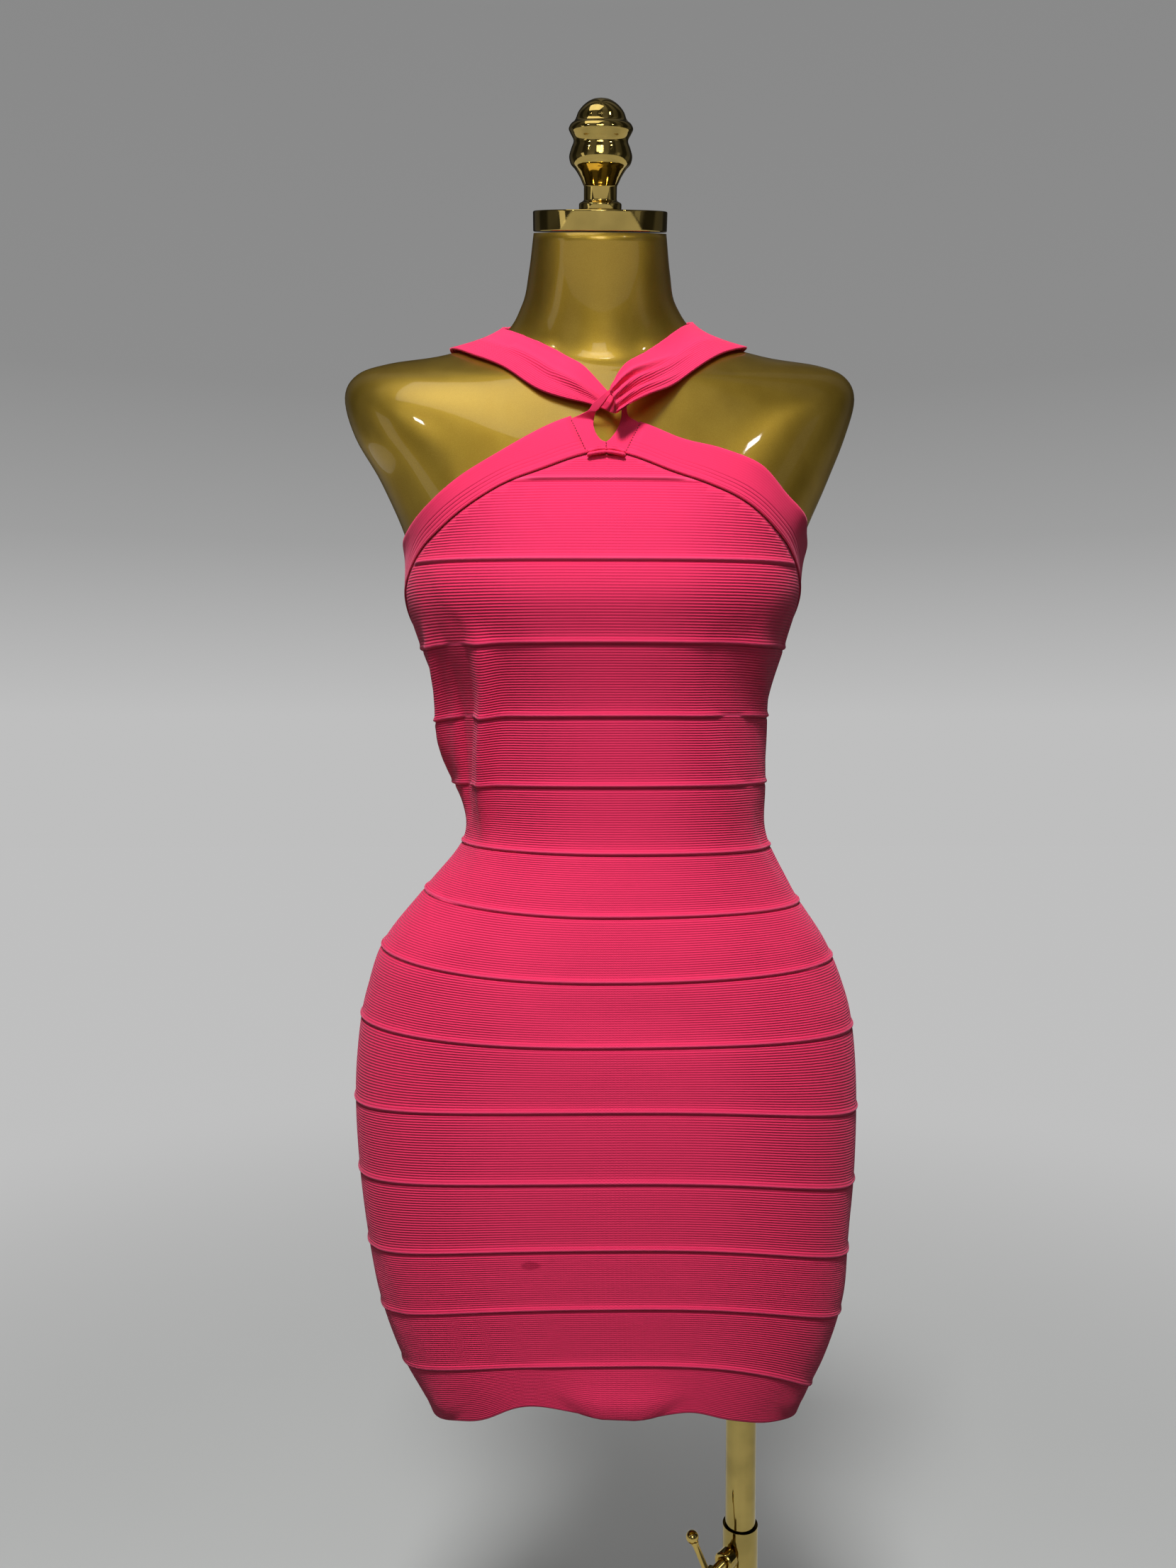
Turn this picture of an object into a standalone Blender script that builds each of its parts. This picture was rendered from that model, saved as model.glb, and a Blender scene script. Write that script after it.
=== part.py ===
"""A bodycon dress in ribbed bandage knit on a limbless dress form with an off-centre telescopic pole.

Metres, +Z up. The front is towards -Y. The origin is on the floor, under the middle of the form.
Angles go round the figure in degrees: 0 is the front, 90 the +X side, 180 the back.
"""

import math

import bmesh
import bpy
import numpy as np
from mathutils import Matrix, Vector
from mathutils.bvhtree import BVHTree

# Cloth
AIR = 0.0012  # between the form and the cloth
PANEL_WALL = 0.0015
BAND_WALL = 0.0021
STRAP_WALL = 0.0020
LOOP_WALL = 0.0020
SEAM_GAP = 0.0003
MERGE = 0.00002  # points nearer than this are one
ROLL_PROUD = 0.0024  # how far the rolled seam between two strips stands out
ROLL_HALF = 0.0032  # half its width at the foot
ROW_SNAP = 0.0012  # a row this near the neckline ends on it
BAND_ROWS = 4
FRONT_TURNS = (1.8, 9, 18, 32, 45, 56, 67, 77, 87, 90)  # the front's columns, on each side of the centre
BACK_TURNS = (10, 20, 32, 45, 56, 67, 77, 87, 90)  # the back's, counted from the centre back
BACK_DROP = 0.004  # the strips sit this much lower behind than at the sides

# Form
COLUMNS = 24  # facets round the form; the cloth has the same ones
NECK_TILT = math.radians(21)
CAP_RADIUS = 0.0483
CAP_THICK = 0.0135
CAP_BEVEL = 0.0012
CAP_CENTRE = (-0.004, -0.0352, 1.4678)

# Stand
POLE_X = 0.110
UPPER_RADIUS = 0.012
UPPER_LOW, UPPER_TOP = 0.160, 0.6244
BORE_RADIUS = 0.0125
LOWER_RADIUS = 0.014
LOWER_TOP = 0.466
SOCKET_RADIUS = 0.021
SOCKET_LOW = 0.600
FORM_LOW = 0.625
BASE_RADIUS = 0.190
BASE_THICK = 0.006
BASE_BEVEL = 0.0015
FLANGE_RADIUS = 0.030
FLANGE_TOP = 0.018
CLAMP_Z = 0.447
CLAMP_HEADING = math.radians(230)  # direction of the screw, round from +X
BOSS_RADIUS = 0.008
BOSS_LENGTH = 0.012
SCREW_RADIUS = 0.004
HEAD_RADIUS = 0.0065
BOSS_GAP = 0.0024  # between the lower tube and the boss, where a weld would be
HOLE_FROM, HOLE_TO = 0.010, 0.040  # these five are along the screw, from the pole's axis
HEAD_FROM, HEAD_TO = 0.038, 0.052
SHANK_TO = 0.045
BAR_REACH = 0.045
BAR_LENGTH = 0.060
BAR_RADIUS = 0.0025
BALL_RADIUS = 0.005
BAR_TURN = math.radians(58)

# The figure, from the hem to the neck. Each ring has a height and a half width at the sides, and its own
# reach and height at the front and at the back. corner is the superellipse's exponent, 2 for a true ellipse,
# and fold is 1 where the ring lies in a plane and 2 where it rounds over the shoulder.
TORSO_RINGS = (
    # height, half width, sideways, front, back, corner
    (0.560, 0.1350, 0.009, -0.072, 0.076, 2.7),
    (0.590, 0.1465, 0.009, -0.076, 0.083, 2.7),
    (0.624, 0.1635, 0.008, -0.081, 0.090, 2.7),
    (0.663, 0.1765, 0.007, -0.086, 0.097, 2.65),
    (0.701, 0.1825, 0.005, -0.091, 0.103, 2.6),
    (0.764, 0.1885, 0.003, -0.097, 0.113, 2.5),
    (0.826, 0.1905, 0.002, -0.101, 0.122, 2.4),
    (0.876, 0.1870, 0.002, -0.102, 0.124, 2.3),
    (0.907, 0.1800, 0.0015, -0.100, 0.117, 2.25),
    (0.941, 0.1665, 0.0005, -0.097, 0.104, 2.2),
    (0.981, 0.1370, 0.003, -0.091, 0.087, 2.1),
    (1.020, 0.1127, 0.0085, -0.086, 0.075, 2.1),
    (1.060, 0.1130, 0.008, -0.088, 0.075, 2.1),
    (1.120, 0.1190, 0.003, -0.096, 0.084, 2.15),
    (1.168, 0.1355, -0.001, -0.108, 0.092, 2.3),
    (1.200, 0.1445, -0.0015, -0.114, 0.096, 2.4),
    (1.238, 0.1470, 0.000, -0.106, 0.098, 2.45),
)
SHOULDER_RINGS = (
    # side height, half width, sideways, side y, front y, height, back y, height, corner, fold
    (1.285, 0.1665, 0.000, 0.002, -0.092, 1.275, 0.097, 1.280, 2.6, 2.0),
    (1.320, 0.1835, -0.003, 0.006, -0.082, 1.305, 0.092, 1.310, 2.8, 2.0),
    (1.350, 0.1915, -0.003, 0.010, -0.074, 1.325, 0.084, 1.335, 2.9, 2.0),
    (1.368, 0.1840, -0.002, 0.012, -0.068, 1.338, 0.077, 1.352, 2.8, 2.0),
    (1.3765, 0.1620, 0.000, 0.010, -0.063, 1.348, 0.070, 1.366, 2.6, 1.9),
    (1.3835, 0.1200, 0.000, 0.007, -0.059, 1.356, 0.062, 1.380, 2.4, 1.7),
    (1.398, 0.0750, -0.002, 0.000, -0.056, 1.366, 0.052, 1.395, 2.2, 1.4),
    (1.418, 0.0575, -0.004, -0.008, -0.058, 1.385, 0.040, 1.422, 2.1, 1.2),
    (1.438, 0.0520, -0.004, -0.018, -0.065, 1.412, 0.027, 1.450, 2.0, 1.0),
    (1.4605, 0.0480, -0.004, -0.0326, -0.0774, 1.4435, 0.0122, 1.4775, 2.0, 1.0),
)
# The form's rounded foot: height, inset
FORM_FOOT = ((0.625, 0.026), (0.6256, 0.021), (0.629, 0.0135), (0.637, 0.0075), (0.650, 0.003))

# The rolled seams between the knitted strips: heights at the front, the left side and the right side, and
# the rows that the strip below needs between its rolls to follow the figure
ROLLS = (
    (0.647, 0.621, 0.598, 0), (0.692, 0.664, 0.655, 1), (0.737, 0.713, 0.703, 1), (0.7865, 0.769, 0.757, 1),
    (0.838, 0.823, 0.814, 1), (0.8835, 0.886, 0.877, 1), (0.928, 0.938, 0.929, 1), (0.9725, 0.980, 0.970, 1),
    (1.016, 1.0165, 1.013, 0), (1.064, 1.063, 1.063, 0), (1.113, 1.113, 1.113, 0), (1.163, 1.164, 1.164, 1),
    (1.2166, 1.222, 1.222, 2), (1.273, 1.274, 1.274, 2),  # these two run out into the neckline bands
)
HEM = (0.606, 0.579, 0.577)
HEM_FLARE = 0.045  # the hem's waves fade out this far above it

# Soft swells that lift the cloth off the form: where, how far out, and their half extents
SWELLS = (
    # degrees, height, out, half degrees, half height
    (-84, 1.095, 0.007, 26, 0.045),
    (-30, 0.905, 0.002, 18, 0.030),
    (84, 1.000, 0.002, 20, 0.030),
    (168, 1.030, 0.012, 34, 0.070),
    (180, 0.740, 0.003, 40, 0.050),
)
HEM_WAVES = (
    # degrees, out, half degrees
    (-23, -0.0045, 12), (0, 0.0080, 9), (27, -0.0045, 13), (-54, 0.0045, 12), (58, 0.0035, 11), (84, -0.0030, 9),
    (118, 0.0040, 14), (162, 0.0060, 16), (-152, 0.0050, 15), (-112, 0.0050, 13),
)

# The neckline bands, front and back: where each cross line meets the lower and the upper edge
LEFT_BAND = (
    # degrees and height at the lower edge, then at the upper edge
    (-1.8, 1.2900, -2.6, 1.3182), (-9, 1.2805, -9.5, 1.3050), (-18, 1.2715, -17, 1.2935),
    (-30, 1.2585, -30, 1.2785), (-45, 1.2430, -47, 1.2605), (-60, 1.2280, -66, 1.2465),
    (-75, 1.2070, -80, 1.2370), (-90, 1.1830, -90, 1.2230),
)
RIGHT_BAND = (
    (1.8, 1.2900, 3.3, 1.3143), (9, 1.2790, 10, 1.3030), (18, 1.2705, 19, 1.2965),
    (30, 1.2600, 31, 1.2860), (45, 1.2445, 46, 1.2680), (60, 1.2285, 65, 1.2515),
    (75, 1.2070, 81, 1.2370), (90, 1.1830, 90, 1.2230),
)
BACK_BAND = (
    (90, 1.1830, 90, 1.2230), (120, 1.1660, 120, 1.2060), (150, 1.1540, 150, 1.1940), (180, 1.1500, 180, 1.1900),
)
BAND_SEAM = 0.0005  # between a band and the panel below it

# The halter strap, from the nape round the left side, through the loop and back round the right side.
# hug is 1 where it lies on the form and 0 where it hangs free.
STRAP_ROWS = (
    # upper edge x, y, z, lower edge x, y, z, hug
    (-0.0015, 0.044, 1.4170, -0.0015, 0.065, 1.3760, 1.0),
    (-0.0330, 0.036, 1.4140, -0.0520, 0.060, 1.3780, 1.0),
    (-0.0560, 0.018, 1.4070, -0.0920, 0.043, 1.3810, 1.0),
    (-0.0730, -0.004, 1.3990, -0.1150, 0.006, 1.3835, 1.0),
    (-0.0650, -0.028, 1.3895, -0.0990, -0.033, 1.3715, 1.0),
    (-0.0480, -0.045, 1.3790, -0.0740, -0.053, 1.3585, 0.8),
    (-0.0300, -0.0570, 1.3675, -0.0461, -0.0720, 1.3390, 0.3),
    (-0.0160, -0.0695, 1.3560, -0.0279, -0.0765, 1.3320, 0.0),
    (-0.0075, -0.0740, 1.3460, -0.0170, -0.0785, 1.3292, 0.0),
    (-0.0005, -0.0785, 1.3370, -0.0075, -0.0805, 1.3260, 0.0),
    (0.0052, -0.0865, 1.3285, 0.0036, -0.0868, 1.3195, 0.0),
    (0.0050, -0.0925, 1.3278, 0.0054, -0.0925, 1.3183, 0.0),
    (0.0012, -0.0962, 1.3320, 0.0068, -0.0965, 1.3180, 0.0),
    (0.0046, -0.0945, 1.3405, 0.0128, -0.0958, 1.3222, 0.0),
    (0.0100, -0.0880, 1.3505, 0.0225, -0.0925, 1.3285, 0.0),
    (0.0245, -0.0700, 1.3655, 0.0405, -0.0815, 1.3395, 0.15),
    (0.0410, -0.0530, 1.3800, 0.0600, -0.0620, 1.3550, 0.8),
    (0.0540, -0.0360, 1.3930, 0.0800, -0.0430, 1.3700, 1.0),
    (0.0640, -0.0080, 1.4040, 0.1060, -0.0060, 1.3840, 1.0),
    (0.0500, 0.018, 1.4100, 0.0890, 0.043, 1.3810, 1.0),
    (0.0290, 0.036, 1.4150, 0.0500, 0.060, 1.3780, 1.0),
    (-0.0011, 0.044, 1.4170, -0.0011, 0.065, 1.3760, 1.0),
)
STRAP_CLEAR = 0.0040  # from the form to the strap's outer face
STRAP_STEPS = 3  # stations between two rows
STRAP_ACROSS = 4

# The keyhole piece, from its centre seam up the left side, over as the loop and down the right side
LOOP_ROWS = (
    # edge along the keyhole x, y, z, edge along the bands x, y, z, hug
    (-0.00140, -0.087, 1.3000, -0.00140, -0.087, 1.2920, 1.0),
    (-0.00450, -0.087, 1.3015, -0.00800, -0.087, 1.2918, 1.0),
    (-0.00700, -0.086, 1.3045, -0.01430, -0.087, 1.2914, 1.0),
    (-0.00900, -0.085, 1.3090, -0.01790, -0.086, 1.3010, 1.0),
    (-0.00980, -0.084, 1.3130, -0.02110, -0.084, 1.3095, 1.0),
    (-0.00960, -0.0825, 1.3165, -0.02370, -0.0815, 1.3174, 1.0),
    (-0.00900, -0.0840, 1.3190, -0.01880, -0.0825, 1.3198, 0.4),
    (-0.00800, -0.0855, 1.3206, -0.01330, -0.0840, 1.3219, 0.0),
    (-0.00600, -0.0870, 1.3225, -0.01050, -0.0858, 1.3258, 0.0),
    (-0.00300, -0.0890, 1.3258, -0.00600, -0.0880, 1.3292, 0.0),
    (0.00000, -0.0905, 1.3297, -0.00100, -0.0902, 1.3328, 0.0),
    (0.00260, -0.0898, 1.3320, 0.00180, -0.0895, 1.3350, 0.0),
    (0.00600, -0.0865, 1.3325, 0.00620, -0.0860, 1.3358, 0.0),
    (0.00850, -0.0830, 1.3305, 0.01100, -0.0825, 1.3333, 0.0),
    (0.00960, -0.0808, 1.3270, 0.01320, -0.0802, 1.3285, 0.0),
    (0.00980, -0.0806, 1.3238, 0.01330, -0.0802, 1.3240, 0.1),
    (0.00970, -0.0818, 1.3200, 0.01450, -0.0808, 1.3192, 0.6),
    (0.00880, -0.083, 1.3165, 0.02040, -0.0815, 1.3138, 1.0),
    (0.00720, -0.084, 1.3110, 0.01620, -0.084, 1.3040, 1.0),
    (0.00460, -0.086, 1.3065, 0.01340, -0.086, 1.2965, 1.0),
    (0.00200, -0.087, 1.3030, 0.01190, -0.087, 1.2914, 1.0),
    (-0.00100, -0.087, 1.3000, -0.00100, -0.087, 1.2920, 1.0),
)
LOOP_CLEAR = 0.0030
LOOP_STEPS = 2
LOOP_ACROSS = 2

# The rolled bar on the seam under the keyhole: x and height
BAR_ROWS = ((-0.0145, 1.2892), (-0.0080, 1.2912), (-0.0012, 1.2918), (0.0056, 1.2912), (0.0121, 1.2892))
BAR_ROLL_RADIUS = 0.0014
BAR_CLEAR = 0.0048

# Round profiles of the finial: height over the cap, radius
FINIAL_PROFILE = (
    (0.0710, 0.0), (0.0700, 0.0060), (0.0670, 0.0115), (0.0625, 0.0158), (0.0570, 0.0185), (0.0548, 0.0212),
    (0.0517, 0.0226), (0.0490, 0.0214), (0.0445, 0.0192), (0.0400, 0.0208), (0.0342, 0.0223), (0.0300, 0.0212),
    (0.0265, 0.0180), (0.0215, 0.0146), (0.0170, 0.0124), (0.0160, 0.0118), (0.0069, 0.0118), (0.0050, 0.0153),
    (0.0005, 0.0153), (0.0003, 0.0150), (0.0003, 0.0),
)

COLOURS = {
    # finish: colour, metallic, roughness
    "dress_knit": ((0.84, 0.045, 0.14, 1), 0.0, 0.85),
    "form_gold": ((0.48, 0.32, 0.05, 1), 0.9, 0.35),
    "fittings_gold": ((0.72, 0.52, 0.15, 1), 1.0, 0.12),
    "base_gold": ((0.55, 0.40, 0.12, 1), 1.0, 0.25),
}


# ---------------------------------------------------------------- surfaces


def curve(places, values, at):
    """Values read between a table's rows, on a smooth curve. A table has a column for each value."""
    places, values, at = (np.asarray(item, float) for item in (places, values, at))
    slopes = np.gradient(values, places, axis=0)
    i = np.clip(np.searchsorted(places, at, side="right") - 1, 0, len(places) - 2)
    step = (places[i + 1] - places[i])[..., None]
    t = (at[..., None] - places[i, None]) / step
    near = (1 + 2 * t) * (1 - t) ** 2 * values[i] + t * (1 - t) ** 2 * step * slopes[i]
    return near + t * t * (3 - 2 * t) * values[i + 1] + t * t * (t - 1) * step * slopes[i + 1]


def figure_rings():
    """The table of rings: side z, half width, side x and y, front y and z, back y and z, corner, fold."""
    torso = [(z, w, x, 0, front, z, back, z, corner, 1) for z, w, x, front, back, corner in TORSO_RINGS]
    return np.array(torso + [tuple(row) for row in SHOULDER_RINGS], float)


RINGS = figure_rings()
FINE_STEPS = 24
FINE_RINGS = curve(
    np.arange(len(RINGS)), RINGS, np.linspace(0, len(RINGS) - 1, (len(RINGS) - 1) * FINE_STEPS + 1)
)


def on_ring(rings, degrees):
    """Points on rings, at the same number of angles."""
    z, width, x, y, front_y, front_z, back_y, back_z, corner, fold = np.moveaxis(rings, -1, 0)
    turn = np.radians(degrees)
    across, along = np.sin(turn), np.cos(turn)
    reach = np.abs(along) ** (2 / corner)
    ahead = along > 0
    return np.stack(
        [
            x + width * np.sign(across) * np.abs(across) ** (2 / corner),
            y + (np.where(ahead, front_y, back_y) - y) * reach,
            z + (np.where(ahead, front_z, back_z) - z) * reach**fold,
        ],
        axis=-1,
    )


def figure_at(degrees, heights):
    """Points of the figure at one angle and several heights."""
    line = on_ring(FINE_RINGS, np.full(len(FINE_RINGS), float(degrees)))
    return np.stack([np.interp(heights, line[:, 2], line[:, axis]) for axis in range(3)], axis=-1)


def outward(degrees, heights):
    """Unit normals of the figure at one angle and several heights."""
    turn, rise = 1.0, 0.002
    round_it = figure_at(degrees + turn, heights) - figure_at(degrees - turn, heights)
    up_it = figure_at(degrees, heights + rise) - figure_at(degrees, heights - rise)
    normals = np.cross(round_it, up_it)
    return normals / np.linalg.norm(normals, axis=-1, keepdims=True)


def apart(degrees, centre):
    return (np.asarray(degrees, float) - centre + 180) % 360 - 180


def lift_at(degrees, heights):
    """How far the cloth stands off beyond its normal fit: loose swells, and the waves of the hem."""
    lift = np.zeros_like(heights)
    for centre, height, out, half_turn, half_height in SWELLS:
        turn = apart(degrees, centre) / half_turn
        lift += out * np.exp(-(turn**2) - ((heights - height) / half_height) ** 2)
    wave = sum(out * np.exp(-((apart(degrees, centre) / half) ** 2)) for centre, out, half in HEM_WAVES)
    rise = np.clip((heights - side_blend(HEM, degrees)) / HEM_FLARE, 0, 1)
    return lift + wave * (1 - rise) ** 2


def side_blend(levels, degrees):
    """The height of a strip's edge at an angle, from its heights at the front, the left and the right."""
    front, left, right = levels
    side = left if apart(degrees, 0) < 0 else right
    ahead = math.cos(math.radians(degrees))
    end = front if ahead > 0 else (left + right) / 2 - BACK_DROP
    return side + (end - side) * ahead**2


def cloth_at(degrees, heights, wall, proud=0.0):
    """The cloth's outer face at one angle, at several heights."""
    away = AIR + wall + proud + lift_at(degrees, heights)
    return figure_at(degrees, heights) + outward(degrees, heights) * away[:, None]


def figure_tree():
    """A search tree over the figure, for laying strips on it."""
    turns = np.arange(-180, 180, 4.0)
    rings = FINE_RINGS[::6]
    grid = np.stack([on_ring(rings, np.full(len(rings), turn)) for turn in turns], axis=1)
    across = len(turns)
    faces = []
    for low in range(0, (len(rings) - 1) * across, across):
        for j in range(across):
            k = (j + 1) % across
            faces.append((low + j, low + k, low + across + k, low + across + j))
    return BVHTree.FromPolygons([Vector(point) for point in grid.reshape(-1, 3)], faces)


# ---------------------------------------------------------------- making objects


def clear_scene():
    for obj in list(bpy.data.objects):
        bpy.data.objects.remove(obj, do_unlink=True)


def material(name):
    colour, metallic, roughness = COLOURS[name]
    made = bpy.data.materials.get(name) or bpy.data.materials.new(name)
    made.use_nodes = True
    made.diffuse_color = colour
    shader = made.node_tree.nodes["Principled BSDF"]
    shader.inputs["Base Color"].default_value = colour
    shader.inputs["Metallic"].default_value = metallic
    shader.inputs["Roughness"].default_value = roughness
    return made


def place(name, data, finish):
    """A new object in the dress's collection."""
    obj = bpy.data.objects.new(name, data)
    data.materials.append(material(finish))
    COLLECTION.objects.link(obj)
    return obj


def from_bmesh(name, bm, finish, smooth=True):
    mesh = bpy.data.meshes.new(name)
    bm.to_mesh(mesh)
    bm.free()
    if smooth:
        mesh.shade_smooth()
        mesh.set_sharp_from_angle(angle=math.radians(40))
    return place(name, mesh, finish)


def sheet(name, grid, wall, finish="dress_knit"):
    """A wall of cloth whose outer face is a grid of points, seen from outside with its rows upwards."""
    rows, columns = grid.shape[:2]
    bm = bmesh.new()
    points = [[bm.verts.new(grid[i, j]) for j in range(columns)] for i in range(rows)]
    for i in range(rows - 1):
        for j in range(columns - 1):
            bm.faces.new((points[i][j], points[i][j + 1], points[i + 1][j + 1], points[i + 1][j]))
    bmesh.ops.remove_doubles(bm, verts=bm.verts, dist=MERGE)
    bmesh.ops.dissolve_degenerate(bm, edges=bm.edges, dist=MERGE)
    obj = from_bmesh(name, bm, finish)
    solidify = obj.modifiers.new("wall", "SOLIDIFY")
    solidify.thickness = wall
    solidify.offset = -1
    return obj


def turned(name, profile, finish, steps):
    """A round piece from a profile of (height, radius), top to bottom, turned about Z."""
    mesh = bpy.data.meshes.new(name)
    points = [(radius, 0, height) for height, radius in profile]
    mesh.from_pydata(points, [(i, i + 1) for i in range(len(points) - 1)], [])
    obj = place(name, mesh, finish)
    screw = obj.modifiers.new("turn", "SCREW")
    screw.steps = screw.render_steps = steps
    screw.use_merge_vertices = True
    screw.merge_threshold = MERGE
    screw.use_smooth_shade = True
    return obj


def ring_profile(low, top, outer, bore):
    """A tube's profile, closed on itself."""
    return ((top, bore), (top, outer), (low, outer), (low, bore), (top, bore))


def rod(name, radius, start, end, finish, sides=20):
    """A solid round bar between two points."""
    start, end = Vector(start), Vector(end)
    bm = bmesh.new()
    bmesh.ops.create_cone(
        bm, cap_ends=True, segments=sides, radius1=radius, radius2=radius, depth=(end - start).length
    )
    turn = (end - start).to_track_quat("Z", "Y").to_matrix().to_4x4()
    bm.transform(Matrix.Translation((start + end) / 2) @ turn)
    return from_bmesh(name, bm, finish)


def use(target, other, operation):
    """Cuts away or joins on another object, which is then only a helper."""
    boolean = target.modifiers.new(other.name, "BOOLEAN")
    boolean.operation = operation
    boolean.object = other
    if other.name not in CUTTERS.objects:
        COLLECTION.objects.unlink(other)
        CUTTERS.objects.link(other)
    other.hide_render = True
    other.display_type = "WIRE"


# ---------------------------------------------------------------- the dress


def strip_levels():
    """Heights of the panel's rows as (front, left, right), with how far each stands proud."""
    rows = [(np.array(HEM), 0.0)]
    below = np.array(HEM)
    for *levels, between in ROLLS:
        levels = np.array(levels)
        parts = np.arange(1, between + 1) / (between + 1)
        rows += [(below + (levels - below) * part, 0.0) for part in parts]
        rows += [(levels - ROLL_HALF, 0.0), (levels, ROLL_PROUD), (levels + ROLL_HALF, 0.0)]
        below = levels
    return rows


def top_edge(degrees):
    """The height where the panels end and the neckline bands begin."""
    turn = apart(degrees, 0)
    if abs(turn) >= 90:
        return band_row(BACK_BAND, abs(turn))[0]
    return band_row(LEFT_BAND if turn < 0 else RIGHT_BAND, turn)[0]


def band_row(band, degrees):
    """(lower height, upper angle, upper height) where a band's lower edge passes an angle."""
    table = np.array(sorted(band))
    return curve(table[:, 0], table[:, 1:], np.clip(degrees, table[0, 0], table[-1, 0]))


def on_side_seam(degrees):
    return abs(abs(apart(degrees, 0)) - 90) < 1e-6


def panel(name, turns, seam_side):
    """A panel between the side seams, whose last rows end on the neckline. seam_side is -1 in front."""
    columns = []
    for degrees in turns:
        edge = top_edge(degrees) - BAND_SEAM / 2
        heights, proud = [], []
        for levels, out in strip_levels():
            height = side_blend(levels, degrees)
            past = height > edge - ROW_SNAP
            heights.append(edge if past else height)
            proud.append(0.0 if past else out)
        heights.append(edge)
        proud.append(0.0)
        line = cloth_at(degrees, np.array(heights), PANEL_WALL, np.array(proud))
        if on_side_seam(degrees):
            line[:, 1] += seam_side * SEAM_GAP / 2
        columns.append(line)
    return sheet(name, np.stack(columns, axis=1), PANEL_WALL)


def band(name, table, turns, seam_side, mirrored=False):
    """A smooth band on top of a panel's edge. seam_side moves its ends off the side seams."""
    columns = []
    for degrees in turns:
        low_z, high_turn, high_z = band_row(table, abs(apart(degrees, 0)) if mirrored else degrees)
        if mirrored:
            high_turn = degrees
        line = []
        for part in np.linspace(0, 1, BAND_ROWS):
            turn = degrees + (high_turn - degrees) * part
            height = low_z + BAND_SEAM / 2 + (high_z - low_z - BAND_SEAM / 2) * part
            line.append(cloth_at(turn, np.array([height]), BAND_WALL)[0])
        line = np.array(line)
        if on_side_seam(degrees):
            line[:, 1] += seam_side * SEAM_GAP / 2
        columns.append(line)
    return sheet(name, np.stack(columns, axis=1), BAND_WALL)


def strip_grid(rows, steps, across, clear, tree):
    """A strip's outer face from its two edges: on the figure where hug is 1, free where it is 0."""
    table = np.array(rows)
    middles = (table[:, 0:3] + table[:, 3:6]) / 2
    places = np.concatenate([[0], np.cumsum(np.linalg.norm(np.diff(middles, axis=0), axis=1))])
    at = np.concatenate([np.linspace(a, b, steps, endpoint=False) for a, b in zip(places, places[1:])])
    table = curve(places, table, np.append(at, places[-1]))
    grid = np.empty((len(table), across + 1, 3))
    for i, row in enumerate(table):
        hug = min(max(row[6], 0.0), 1.0)
        for j, part in enumerate(np.linspace(0, 1, across + 1)):
            free = row[3:6] + (row[0:3] - row[3:6]) * part
            near, normal = tree.find_nearest(Vector(free))[:2]
            laid = np.array(near) + np.array(normal) * clear
            grid[i, j] = free + (laid - free) * hug
    return grid


def make_dress(tree):
    right_turns = FRONT_TURNS
    left_turns = tuple(-turn for turn in reversed(right_turns))
    back_turns = [180 - turn for turn in reversed(BACK_TURNS)] + [180] + [180 + turn for turn in BACK_TURNS]
    panel("front_panel", left_turns + right_turns, -1)
    panel("back_panel", back_turns, 1)
    band("neckline_band_left", LEFT_BAND, left_turns, -1)
    band("neckline_band_right", RIGHT_BAND, right_turns, -1)
    band("back_band", BACK_BAND, back_turns, 1, mirrored=True)
    # A strip's stations run against the figure's turn, so its rows are turned to face outwards.
    strap = strip_grid(STRAP_ROWS, STRAP_STEPS, STRAP_ACROSS, STRAP_CLEAR, tree)
    sheet("halter_strap", np.swapaxes(strap, 0, 1), STRAP_WALL)
    loop = strip_grid(LOOP_ROWS, LOOP_STEPS, LOOP_ACROSS, LOOP_CLEAR, tree)
    sheet("keyhole_loop", np.swapaxes(loop, 0, 1)[::-1], LOOP_WALL)
    make_keyhole_bar(tree)


def make_keyhole_bar(tree):
    curve_data = bpy.data.curves.new("keyhole_bar", "CURVE")
    curve_data.dimensions = "3D"
    curve_data.bevel_depth = BAR_ROLL_RADIUS
    curve_data.bevel_resolution = 2
    curve_data.use_fill_caps = True
    spline = curve_data.splines.new("POLY")
    spline.points.add(len(BAR_ROWS) - 1)
    for point, (x, height) in zip(spline.points, BAR_ROWS):
        near, normal = tree.find_nearest(Vector((x, -0.087, height)))[:2]
        point.co = (*(near + normal * BAR_CLEAR), 1)
    place("keyhole_bar", curve_data, "dress_knit")


# ---------------------------------------------------------------- the form and its stand


def make_form():
    """The solid form: rings from a rounded foot to the tilted top of the neck."""
    turns = np.arange(COLUMNS) * 360 / COLUMNS
    loops = []
    for height, inset in FORM_FOOT:
        level = np.array([height])
        loops.append([figure_at(turn, level) - outward(turn, level) * inset for turn in turns])
    over_foot = next(i for i, row in enumerate(RINGS) if row[0] > FORM_FOOT[-1][0])
    top = len(RINGS) - 1
    shoulder = len(TORSO_RINGS) - 1
    places = [*np.arange(over_foot, shoulder, 1 / 3), *np.arange(shoulder, top + 0.1, 1 / 2)]
    for row in curve(np.arange(len(RINGS)), RINGS, places):
        loops.append([on_ring(row, turn) for turn in turns])
    bm = bmesh.new()
    rings = [[bm.verts.new(np.ravel(point)) for point in loop] for loop in loops]
    for low, high in zip(rings, rings[1:]):
        for j in range(COLUMNS):
            k = (j + 1) % COLUMNS
            bm.faces.new((low[j], low[k], high[k], high[j]))
    bm.faces.new(rings[0][::-1])
    bm.faces.new(rings[-1])
    from_bmesh("form_torso", bm, "form_gold")


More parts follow.
